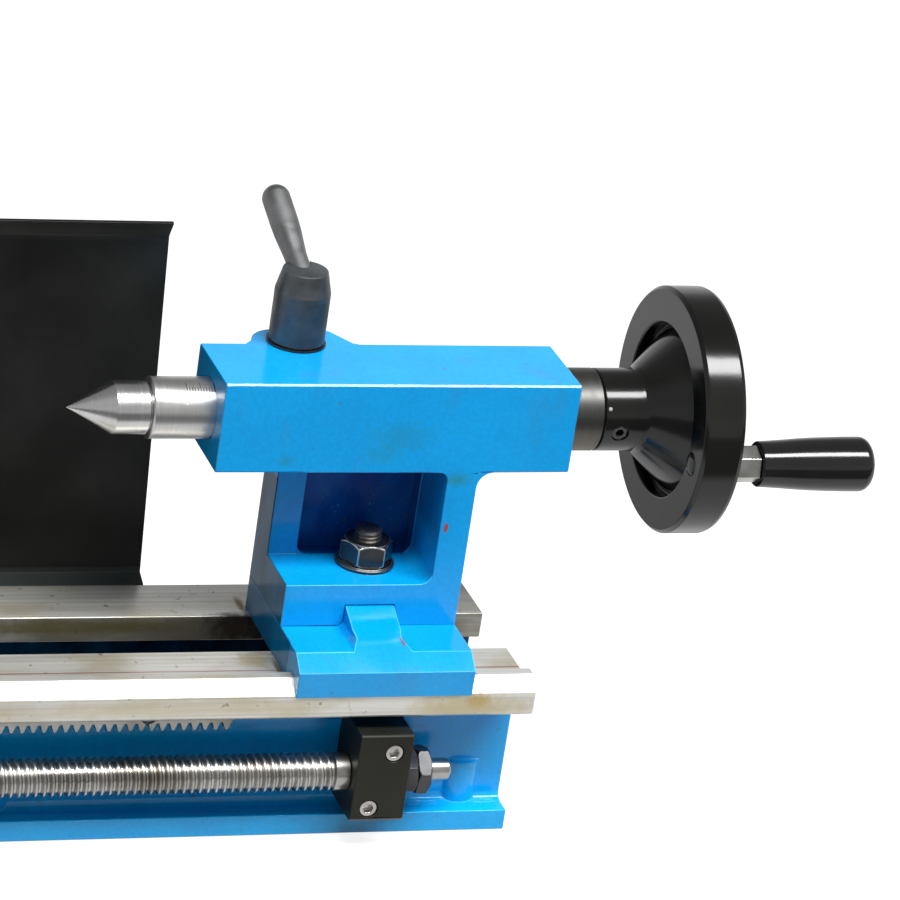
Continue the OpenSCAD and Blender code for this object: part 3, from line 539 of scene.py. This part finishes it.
def turned(name, outline, centre, steps, edge):
    """A piece turned in the lathe: the outline (x, radius), in mm, spun about X through centre."""
    bpy.ops.object.select_all(action="DESELECT")
    bpy.ops.mesh.primitive_plane_add(size=mm)
    piece = bpy.context.object
    piece.name = name
    bpy.ops.object.mode_set(mode="EDIT")
    bpy.ops.mesh.select_all(action="SELECT")
    bpy.ops.mesh.merge(type="CENTER")
    at = Vector((0, 0, 0))
    for number, (x, r) in enumerate(outline):
        place = centre + Vector((x, -r, 0)) * mm
        if number == 0:
            bpy.ops.transform.translate(value=place - at)
        else:
            bpy.ops.mesh.extrude_region_move(TRANSFORM_OT_translate={"value": place - at})
        at = place
    bpy.ops.mesh.select_all(action="SELECT")
    bpy.ops.mesh.spin(steps=steps, angle=2 * pi, center=centre, axis=(1, 0, 0))
    bpy.ops.mesh.select_all(action="SELECT")
    bpy.ops.mesh.remove_doubles(threshold=0.002 * mm)
    bpy.ops.mesh.delete_loose(use_faces=False)
    bpy.ops.mesh.select_all(action="SELECT")
    bpy.ops.mesh.normals_make_consistent(inside=False)
    bpy.ops.object.mode_set(mode="OBJECT")
    if edge > 0:
        apply(piece, "BEVEL", width=edge * mm, segments=2, limit_method="ANGLE",
              angle_limit=radians(22), use_clamp_overlap=True)
    bpy.ops.object.shade_smooth_by_angle(angle=radians(50))
    apply(piece, "WEIGHTED_NORMAL", keep_sharp=True)
    return piece


screw_steel = make_machined("leadscrew_steel", (0.5, 0.49, 0.47), 0.3, 0.6)

screw_low, screw_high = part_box("leadscrew")
screw_centre = Vector((0, (screw_low.y + screw_high.y) / 2, (screw_low.z + screw_high.z) / 2))
screw_radius = (screw_high.z - screw_low.z) / 2 / mm
screw_end = screw_high.x / mm
screw_pitch = 3.0
thread_depth = 1.3
root_radius = screw_radius - thread_depth
bracket_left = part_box("leadscrew_bracket")[0].x / mm
collar_end = bracket_left - 0.3
thread_end = bracket_left - 6
journal_radius = 5.0
end_radius = 4.0
end_start = 70.0
end_chamfer = 0.8
leadscrew = threaded("leadscrew_thread", screw_low.x / mm, thread_end, screw_radius, screw_pitch,
                     thread_depth, 0.22, screw_centre)
bpy.ops.object.shade_smooth_by_angle(angle=radians(25))
journal = turned("leadscrew_journal", [
    (thread_end - 0.5, 0), (thread_end - 0.5, root_radius), (thread_end, root_radius),
    (thread_end + 0.6, screw_radius), (collar_end, screw_radius), (collar_end, journal_radius),
    (end_start, journal_radius), (end_start, end_radius), (screw_end - end_chamfer, end_radius),
    (screw_end, end_radius - end_chamfer), (screw_end, 0)], screw_centre, 64, 0.15)
settle(leadscrew, "screw", "bare_steel", (screw_steel,), "leadscrew")
settle(journal, "screw", "bare_steel", (screw_steel,))
screw_nuts = copied("leadscrew_nuts", "leadscrew_lock_nuts")
smooth(screw_nuts, 0.25, 2)
settle(screw_nuts, "screw", "black_steel", (black_oxide,), "leadscrew_nuts")


# The splash guard. It is one folded sheet of thin steel, painted satin black, with a lip bent
# forward at its top and a flange at its foot that is screwed to the back of the bed.
guard_paint = make_black_paint("guard_paint", (0.0035, 0.0038, 0.0035), 0.36, 0.2, 0.15, 4)
# Lighter bands on the black: a painted highlight just under the lip and a painted reflection on the
# foot flange, broken up by the same clouds.
dust_and_sheen = times(guard_paint, clouds(guard_paint, 40, (0.25, 0.4), (0.7, 1.0), (0.2, 1, 1)), 0.85)
under_lip_highlight = times(guard_paint, place_mask(guard_paint, "Z", 197.5, 199.5, 2.5), dust_and_sheen)
foot_reflection = times(guard_paint, place_mask(guard_paint, "Z", 50, 66.0, 0.8), dust_and_sheen)
overlay(guard_paint, under_lip_highlight, (0.03, 0.031, 0.028))
overlay(guard_paint, foot_reflection, (0.035, 0.042, 0.040))
guard = copied("splash_guard", "splash_guard_sheet")
smooth(guard, 0.35, 3)
settle(guard, "bed", "black_paint", (guard_paint,), "splash_guard")
guard_screws = copied("guard_screws", "guard_pan_screws")
smooth(guard_screws, 0.15, 2)
settle(guard_screws, "bed", "bare_steel", (bare_screw,), "guard_screws")


# The tailstock's base. It is the lower of the two castings, milled below to ride the prism and
# above with two pockets, so that a cross tongue stands between them and guides the upper casting.
def keep_edge_highlights(piece):
    """Keeps the lighter edge enamel, a painted highlight, only on the bevels that look up and to
    the front.
    """
    housing_top = 160 * mm
    for face in piece.data.polygons:
        highlit = face.normal.y < -0.25 and face.normal.z > 0.25
        if not (highlit and face.center.y < 0 and face.center.z < housing_top):
            face.material_index = 0


# The edge enamel is the blue enamel made lighter all over: a painted highlight along the broken
# edges of the castings that face up and to the front.
edge_highlight_all_over = ((-200, -200, 0), (200, 200, 300), 1.0, (0.12, 0.57, 0.96), 1.0)
edge_highlight_enamel = make_enamel("edge_highlight_enamel", 1.0, (edge_highlight_all_over,))
# The base's left face is darkened all over: painted shade on the side away from the light.
left_end_shade = ((10, -30, 60), (13.8, 40, 90), 0.2, (0.008, 0.03, 0.045), 0.6)
dirt = (0.11, 0.07, 0.06)
pocket_dirt = (((36.0, -30.5, 78), (1.2, 4.5, 2.2), 0.6, dirt, 0.6),
               ((54.6, -33, 77.5), (1.4, 3.2, 1.8), 0.5, dirt, 0.85))
base_enamel = make_enamel("base_enamel", 1.0, (left_end_shade,), pocket_dirt)
casting_edge = 0.36
base = copied("tailstock_base", "tailstock_lower_casting")
smooth(base, casting_edge, 3, edge_wear_and_highlight=1)
keep_edge_highlights(base)
settle(base, "base", "painted_casting", (base_enamel, edge_highlight_enamel), "tailstock_base")


# The clamp. A blackened stud comes up from a plate under the ways, through both castings, and a
# nut on a washer in the throat pulls the tailstock down; spanners have worn the nut's corners.
stud_low, stud_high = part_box("clamp_stud")
stud_centre = (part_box("clamp_nut")[0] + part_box("clamp_nut")[1]) / 2
stud_foot = Vector((stud_centre.x, stud_centre.y, stud_low.z))
stud_l = (stud_high.z - stud_low.z) / mm
stud_radius = 5.0
stud_pitch = 1.5
stud_thread_l = 16.0
stud_thread_depth = 0.92
undercut = 0.9
stud_black = make_black_oxide("stud_black", (0.15, 0.135, 0.12), 0.3)
stand_up = Matrix.Rotation(-pi / 2, 4, "Y")
stud_thread = threaded("clamp_stud_thread", 0, stud_thread_l, stud_radius, stud_pitch,
                       stud_thread_depth, 0.08, Vector((0, 0, 0)), 40)
lift = Matrix.Translation(stud_foot + Vector((0, 0, stud_l - stud_thread_l)) * mm)
stud_thread.data.transform(lift @ stand_up)
bpy.ops.object.shade_smooth_by_angle(angle=radians(25))
settle(stud_thread, "base", "black_steel", (stud_black,), "clamp_stud")

shank_start = 5.0
shank_l = stud_l - stud_thread_l - shank_start + 0.5
shank = turned("clamp_stud_shank", [
    (0, 0), (0, stud_radius), (shank_l - 1.0, stud_radius), (shank_l - 0.5, stud_radius - undercut),
    (shank_l, stud_radius - undercut), (shank_l, 0)], Vector((0, 0, 0)), 48, 0)
shank.data.transform(Matrix.Translation(stud_foot + Vector((0, 0, shank_start)) * mm) @ stand_up)
settle(shank, "base", "black_steel", (stud_black,))

head_across = 17.0
head_h = 6.5
bpy.ops.mesh.primitive_cylinder_add(vertices=6, radius=head_across / 2 / cos(pi / 6) * mm,
                                    depth=head_h * mm)
stud_head = bpy.context.object
stud_head.name = "clamp_stud_head"
bpy.ops.object.mode_set(mode="EDIT")
bpy.ops.mesh.select_all(action="SELECT")
bpy.ops.transform.rotate(value=pi / 6, orient_axis="Z", center_override=(0, 0, 0))
bpy.ops.object.mode_set(mode="OBJECT")
stud_head.data.transform(Matrix.Translation(stud_foot + Vector((0, 0, head_h / 2)) * mm))
smooth(stud_head, 0.5, 2)
settle(stud_head, "base", "black_steel", (stud_black,))

plate = copied("clamp_plate", "clamp_plate_under_ways")
smooth(plate, 0.6, 2)
settle(plate, "base", "black_iron", (black_iron,), "clamp_plate")

washer = copied("clamp_washer", "clamp_washer_disc")
smooth(washer, 0.25, 2, edge_wear_and_highlight=1)
settle(washer, "base", "black_steel", (black_oxide, worn_edge), "clamp_washer")

nut = copied("clamp_nut", "clamp_hex_nut")
smooth(nut, 0.35, 2, edge_wear_and_highlight=1)
settle(nut, "nut", "black_steel", (black_oxide, worn_edge), "clamp_nut")

set_over = copied("set_over_screw", "set_over_grub_screw")
smooth(set_over, 0.2, 2)
settle(set_over, "base", "black_steel", (black_oxide,), "set_over_screw")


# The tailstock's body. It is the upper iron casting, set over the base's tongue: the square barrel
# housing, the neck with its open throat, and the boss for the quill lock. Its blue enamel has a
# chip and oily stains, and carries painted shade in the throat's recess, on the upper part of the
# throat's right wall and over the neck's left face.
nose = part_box("tailstock_body")[0].x / mm
quill_low, quill_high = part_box("quill")
axis = Vector((0, (quill_low.y + quill_high.y) / 2, (quill_low.z + quill_high.z) / 2))
red_lead = (0.30, 0.05, 0.03)
umber = (0.05, 0.045, 0.02)
moss = (0.02, 0.22, 0.22)
# Painted shade: dark blue in the recess at the back of the throat, on the upper part of the
# throat's right wall, and over the neck's left face.
recess_shade = ((24.5, 8.6, 90), (68, 17, 136), 0.5, (0.0005, 0.052, 0.27), 0.97)
throat_right_shade = ((60, -12, 112), (71, 8, 137), 6.0, (0.0005, 0.025, 0.09), 0.5)
neck_left_shade = ((10, -16.6, 60), (13.8, 40, 122), 0.2, (0.008, 0.04, 0.06), 0.8)
marks = (
    ((70.2, -17.2, 114.3), (0.9, 1.6, 2.0), 0.25, red_lead, 0.9),
    ((48.9, -18.8, 150), (16, 3, 7), 1.0, moss, 0.5),
    ((42, -18.8, 143), (9, 3, 5), 1.0, moss, 0.5),
    ((6.8, -18.8, 140.6), (5, 3, 3), 1.0, moss, 0.7),
    ((71.7, -17.2, 133.2), (7, 3, 3), 1.0, moss, 0.7),
    ((58, -18.8, 136.0), (9, 2, 0.9), 0.6, umber, 0.5),
    ((24, -18.8, 136.0), (5, 2, 0.8), 0.6, umber, 0.5))
body_enamel = make_enamel("body_enamel", 1.0, (recess_shade, throat_right_shade, neck_left_shade), marks)
# Painted glints: pale flecks in the throat's recess, standing for light caught by the rough
# casting.
painted_glints = times(body_enamel, clouds(body_enamel, 800, (0.66, 0.0), (0.72, 0.5), detail=2),
               block(body_enamel, (28, 11, 98), (62, 17, 112), 2.0))
overlay(body_enamel, painted_glints, (0.05, 0.28, 0.55))
body = copied("tailstock_body", "tailstock_upper_casting")
smooth(body, casting_edge, 3, sharp=55, edge_wear_and_highlight=1)
keep_edge_highlights(body)
settle(body, "tailstock", "painted_casting", (body_enamel, edge_highlight_enamel), "tailstock_body")
for node in ("body_screws", "flange_screw"):
    screw = copied(node, f"{node}_set")
    smooth(screw, 0.2, 2)
    settle(screw, "tailstock", "black_steel", (black_oxide,), node)


# Inside the housing. The feed screw with its bronze nut and thrust washer, the quill's guide screw,
# and the stud and two cotters that grip the quill are plain turned parts. They hardly show while
# the tailstock is whole, so the CAD solids stay and only take the finishes of their metals.
bronze = make_machined("bronze", (0.55, 0.36, 0.14), 0.35, 0.4)
inside = {"quill_guide_screw": black_oxide, "upper_cotter": rack_steel, "lower_cotter": rack_steel,
          "thrust_washer": bronze, "quill_nut": bronze, "feed_screw": screw_steel,
          "lock_stud": screw_steel}
for node, finish in inside.items():
    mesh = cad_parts[node].data
    mesh.materials.clear()
    mesh.materials.append(finish)


# The bearing flange. It is a turned steel collar, pressed into the end of the housing, that carries
# the feed screw; its bare rim stands between the blue housing and the black hub.
def make_turned(name, color, roughness):
    """Steel off the lathe: fine rings round X, each of them a little darker or lighter."""
    finish = new_finish(name, color, roughness, 1.0)
    rings = (4, 0.02, 0.02)
    darker = tuple(c * 0.86 for c in color)
    tool = clouds(finish, 900, (0.3, darker), (0.7, color), rings)
    film = times(finish, clouds(finish, 55, (0.5, 0.0), (0.8, 1.0)), 0.25)
    uneven = clouds(finish, 700, (0.3, roughness * 0.85), (0.7, roughness * 1.15), rings)
    feed(finish, blend_color(finish, film, tool, (0.33, 0.27, 0.2)), "Base Color")
    feed(finish, uneven, "Roughness")
    relief(finish, (grain(finish, 900, rings), 0.12, 0.02))
    return finish


bright_steel = make_turned("bright_steel", (0.60, 0.597, 0.59), 0.32)
flange_steel = make_turned("flange_steel", (0.095, 0.094, 0.09), 0.42)

housing_end = nose + 132.0
flange_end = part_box("bearing_flange")[1].x / mm
flange_start = flange_end - 24
flange_r = 15.0
spigot_r = 12.5
bearing_r = 6.05
flange = turned("bearing_flange_collar", [
    (flange_start, bearing_r), (flange_start, spigot_r), (housing_end, spigot_r),
    (housing_end, flange_r), (flange_end - 0.6, flange_r), (flange_end, flange_r - 0.6),
    (flange_end, bearing_r), (flange_start, bearing_r)], axis, 128, 0.15)
settle(flange, "tailstock", "bright_steel", (flange_steel,), "bearing_flange")


# The quill lock. A tapered hub of blackened steel screws down its stud and draws the two cotters
# together on the quill; a turned arm, screwed into the hub on a slant, is its handle.
hub_black = make_black_oxide("lock_hub_black", (0.075, 0.083, 0.088), 0.44)
arm_grey = make_machined("arm_grey", (0.25, 0.26, 0.27), 0.5, 0.25)

lock_washer = copied("lock_washer", "lock_washer_disc")
smooth(lock_washer, 0.2, 2)
settle(lock_washer, "tailstock", "black_steel", (black_oxide,), "lock_washer")
hub = copied("lock_hub", "lock_hub_cone")
smooth(hub, 0.22, 1, sharp=13, shade=9)
settle(hub, "lever", "black_steel", (hub_black,), "lock_hub")
arm = copied("lock_arm", "lock_arm_bar")
smooth(arm, 0, 1)
settle(arm, "lever", "grey_steel", (arm_grey,), "lock_arm")


# The quill. It is a ground steel barrel with a taper socket in its nose and a scale cut along its
# upper front, a short line for each millimetre and a long one for each five.
def cut_with(piece, tool):
    """Cuts the tool's shape out of the piece and throws the tool away."""
    apply(piece, "BOOLEAN", object=tool, operation="DIFFERENCE", solver="EXACT",
          material_mode="TRANSFER")
    bpy.data.objects.remove(tool)


def arc_tool(x, width, first, last, radius, depth, centre):
    """A thin curved cutter across a shaft; its angles are in degrees up from the front."""
    mesh = bpy.data.meshes.new("cutter")
    turn = radians(first)
    corners = []
    for dx, r in ((-width / 2, radius - depth), (width / 2, radius - depth),
                  (width / 2, radius + 0.5), (-width / 2, radius + 0.5)):
        corners.append(centre + Vector((x + dx, -r * cos(turn), r * sin(turn))) * mm)
    mesh.from_pydata(corners, [], [(0, 1, 2, 3)])
    tool = as_piece("cutter", mesh)
    bpy.ops.object.mode_set(mode="EDIT")
    bpy.ops.mesh.select_all(action="SELECT")
    bpy.ops.mesh.spin(steps=5, angle=radians(last - first), center=centre, axis=(1, 0, 0))
    bpy.ops.mesh.select_all(action="SELECT")
    bpy.ops.mesh.remove_doubles(threshold=0.001 * mm)
    bpy.ops.mesh.normals_make_consistent(inside=False)
    bpy.ops.object.mode_set(mode="OBJECT")
    return tool


def drill(piece, place, direction, radius, depth):
    """A round hole into the piece from a place on its surface."""
    bpy.ops.mesh.primitive_cylinder_add(vertices=64, radius=radius * mm, depth=2 * depth * mm)
    tool = bpy.context.object
    turn = direction.to_track_quat("Z", "Y").to_matrix().to_4x4()
    tool.data.transform(Matrix.Translation(place) @ turn)
    cut_with(piece, tool)


quill_x0 = quill_low.x / mm
quill_x1 = quill_high.x / mm
quill_r = (quill_high.y - quill_low.y) / 2 / mm
quill_edge = 0.5
taper = 0.04995 / 2
socket_r = 8.89
socket_end = quill_x0 + 66.0
socket_end_r = socket_r - (socket_end - quill_x0) * taper
through_r = 6.6
nut_bore_r = 9.05
nut_seat = quill_x1 - 22.0
quill = turned("quill_barrel", [
    (quill_x0, socket_r + quill_edge), (quill_x0, quill_r - quill_edge),
    (quill_x0 + quill_edge, quill_r), (quill_x1 - quill_edge, quill_r),
    (quill_x1, quill_r - quill_edge), (quill_x1, nut_bore_r), (nut_seat, nut_bore_r),
    (nut_seat, through_r), (socket_end, through_r), (socket_end, socket_end_r),
    (quill_x0 + quill_edge, socket_r), (quill_x0, socket_r + quill_edge)], axis, 160, 0.12)
scale_dark = new_finish("scale_dark", (0.03, 0.028, 0.025), 0.6)
feed(scale_dark, clouds(scale_dark, 500, (0.3, 0.015), (0.7, 0.06)), "Base Color")
quill_finishes = (bright_steel, scale_dark)
for finish in quill_finishes:
    quill.data.materials.append(finish)

scale_start = nose - 10.1
tick_width = 0.28
tick_depth = 0.15
tick_count = 36
tick_from = 54
short_tick = arc_tool(scale_start, tick_width, tick_from, 64, quill_r, tick_depth, axis)
long_tick = arc_tool(scale_start, tick_width, tick_from, 76, quill_r, tick_depth, axis)
for tick in (short_tick, long_tick):
    for finish in quill_finishes:
        tick.data.materials.append(finish)
    for face in tick.data.polygons:
        face.material_index = 1
ticks = []
for number in range(tick_count):
    tick = as_piece("cutter", (short_tick if number % 5 else long_tick).data.copy())
    tick.data.transform(Matrix.Translation((number * mm, 0, 0)))
    ticks.append(tick)
bpy.data.objects.remove(short_tick)
bpy.data.objects.remove(long_tick)
bpy.ops.object.select_all(action="DESELECT")
for tick in ticks:
    tick.select_set(True)
bpy.context.view_layer.objects.active = ticks[0]
bpy.ops.object.join()
cut_with(quill, ticks[0])

mark_turn = radians(33)
mark_out = Vector((0, -cos(mark_turn), sin(mark_turn)))
mark_at = axis + Vector((scale_start - 0.5, 0, 0)) * mm + mark_out * (quill_r + 0.1) * mm
drill(quill, mark_at, mark_out, 0.7, 0.3)
settle(quill, "quill_group", "bright_steel", quill_finishes, "quill")


# The dead centre. It is a hardened steel centre with a sixty degree point, ground after turning,
# whose taper shank is held in the quill's socket.
centre_low, centre_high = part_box("dead_centre")
centre_x0 = centre_low.x / mm
head_x1 = quill_x0 - 0.5
head_x0 = head_x1 - 12.3
centre_r = 9.5
shank_clear = 0.02
shank_x1 = centre_high.x / mm
shank_r1 = socket_r - (shank_x1 - quill_x0) * taper - shank_clear
shank_edge = 0.6
centre_steel = make_turned("centre_steel", (0.66, 0.66, 0.66), 0.25)
centre = turned("dead_centre_point", [
    (centre_x0, 0), (centre_x0 + 0.05, 0.12), (head_x0, centre_r), (head_x1 - 0.4, centre_r),
    (head_x1, centre_r - 0.4), (head_x1, socket_r - shank_clear), (shank_x1 - shank_edge, shank_r1),
    (shank_x1, shank_r1 - shank_edge), (shank_x1, 0)], axis, 160, 0.06)
settle(centre, "quill_group", "bright_steel", (centre_steel,), "dead_centre")


# The handwheel. It is an iron casting, turned all over and blackened to a gloss: a hub, a dished
# web and a heavy rim. A grub screw in the hub holds it on the feed screw, beside a dot of paint.
def outward(degrees):
    """The direction out of the quill's axis at this angle, in degrees up from the back."""
    return Vector((0, cos(radians(degrees)), sin(radians(degrees))))


hub_x0 = flange_end + 0.15
hub_x1 = nose + 159.2
hub_r = 15.0
web_x = nose + 176.5
boss_x1 = nose + 177.0
rim_x0 = nose + 171.0
rim_x1 = rim_x0 + 15.8
rim_r = 45.0
rim_in = 31.8
bore = 6.05
wheel_black = make_black_paint("wheel_black", (0.0022, 0.0021, 0.0018), 0.14, 0.45, 0.3, 3)
wheel = turned("handwheel_casting", [
    (hub_x0 + 0.4, bore), (hub_x0, bore + 0.4), (hub_x0, hub_r - 0.4), (hub_x0 + 0.4, hub_r),
    (hub_x1 - 0.5, hub_r), (hub_x1 + 1.0, hub_r + 0.5), (hub_x1 + 2.2, hub_r + 1.4),
    (web_x - 1.5, rim_in - 2.4), (web_x - 0.2, rim_in - 1.7), (web_x, rim_in - 0.5),
    (web_x - 0.8, rim_in), (rim_x0 + 0.4, rim_in), (rim_x0, rim_in + 0.4), (rim_x0, rim_r - 1.3),
    (rim_x0 + 1.3, rim_r), (rim_x1 - 2.0, rim_r), (rim_x1 - 0.6, rim_r - 0.6),
    (rim_x1, rim_r - 2.0), (rim_x1, rim_in + 1.6), (rim_x1 - 0.6, rim_in + 0.8),
    (web_x + 5.0, rim_in - 2.4), (web_x - 6.0, 13.5), (boss_x1, 11.0), (boss_x1, bore + 0.4),
    (boss_x1 - 0.4, bore), (hub_x0 + 0.4, bore)], axis, 192, 0)
wheel.data.materials.append(wheel_black)

handle_away = 35.4
handle_centre = axis + outward(189) * handle_away * mm
drill(wheel, handle_centre + Vector((rim_x0, 0, 0)) * mm, Vector((1, 0, 0)), 4.3, 20)
grub_out = outward(192.5)
grub_x = nose + 151.0
grub_at = axis + Vector((grub_x, 0, 0)) * mm + grub_out * hub_r * mm
drill(wheel, grub_at, grub_out, 3.2, 6)
smooth(wheel, 0.2, 2, sharp=22)
settle(wheel, "wheel", "black_iron", (wheel_black,), "handwheel")

grub = copied("hub_set_screw", "hub_grub_screw")
smooth(grub, 0.15, 2)
settle(grub, "wheel", "black_steel", (black_oxide,), "hub_set_screw")

dot_r = 0.75
dot_out = outward(156)
dot_at = axis + Vector((hub_x0 + 1.5, 0, 0)) * mm + dot_out * (hub_r - 0.05) * mm
dot_white = new_finish("dot_white", (0.35, 0.34, 0.32), 0.45)
feed(dot_white, clouds(dot_white, 900, (0.3, 0.22), (0.7, 0.4)), "Base Color")
bpy.ops.mesh.primitive_uv_sphere_add(segments=20, ring_count=10, radius=dot_r * mm)
dot = bpy.context.object
dot.name = "index_dot"
dot.data.transform(Matrix.Diagonal((1, 1, 0.35, 1)))
dot_turn = dot_out.to_track_quat("Z", "Y").to_matrix().to_4x4()
dot.data.transform(Matrix.Translation(dot_at) @ dot_turn)
bpy.ops.object.shade_smooth()
settle(dot, "wheel", "bare_steel", (dot_white,))


# The handle. A steel spindle is riveted into the rim and has a hexagon to screw it home; the grip,
# a black tapered sleeve with a rounded end, turns freely on it.
hex_steel = make_machined("hex_steel", (0.72, 0.72, 0.69), 0.3, 0.4)
spindle = copied("handle_spindle", "handle_spindle_hex")
smooth(spindle, 0.3, 2)
settle(spindle, "wheel", "bare_steel", (hex_steel,), "handle_spindle")
rivet_r = 4.05
rivet = turned("handle_rivet_end", [
    (rim_x0 + 1.5, 0), (rim_x0 + 1.5, rivet_r), (rim_x0 + 0.12, rivet_r), (rim_x0 - 0.15, 3.6),
    (rim_x0 - 0.32, 2.2), (rim_x0 - 0.38, 0)], handle_centre, 64, 0.05)
settle(rivet, "wheel", "bare_steel", (wheel_black,))

grip_low, grip_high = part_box("handle_grip")
grip_x0 = grip_low.x / mm
grip_l = (grip_high.x - grip_low.x) / mm
grip_bore = 4.05
bore_end = grip_l - 4
end_r = 9.95
corner = 3.9
swell = ((0.085, 8.41), (0.15, 8.6), (0.22, 8.78), (0.287, 9.0), (0.354, 9.22), (0.42, 9.4),
         (0.487, 9.53), (0.556, 9.66), (0.62, 9.74), (0.69, 9.82), (0.76, 9.89))
grip_black = make_black_paint("grip_black", (0.0022, 0.002, 0.002), 0.13, 0.55, 0.35, 4)
outline = [(0, grip_bore), (0, 7.9), (0.4, 8.25)]
outline += [(grip_l * part, r) for part, r in swell]
for step in range(7):
    turn = radians(step * 15)
    outline.append((grip_l - corner + corner * sin(turn), end_r - corner + corner * cos(turn)))
outline += [(grip_l, 0), (bore_end, 0), (bore_end, grip_bore), (0, grip_bore)]
grip = turned("handle_grip_sleeve", [(grip_x0 + x, r) for x, r in outline], handle_centre, 128, 0.0)
settle(grip, "grip", "black_grip", (grip_black,), "handle_grip")
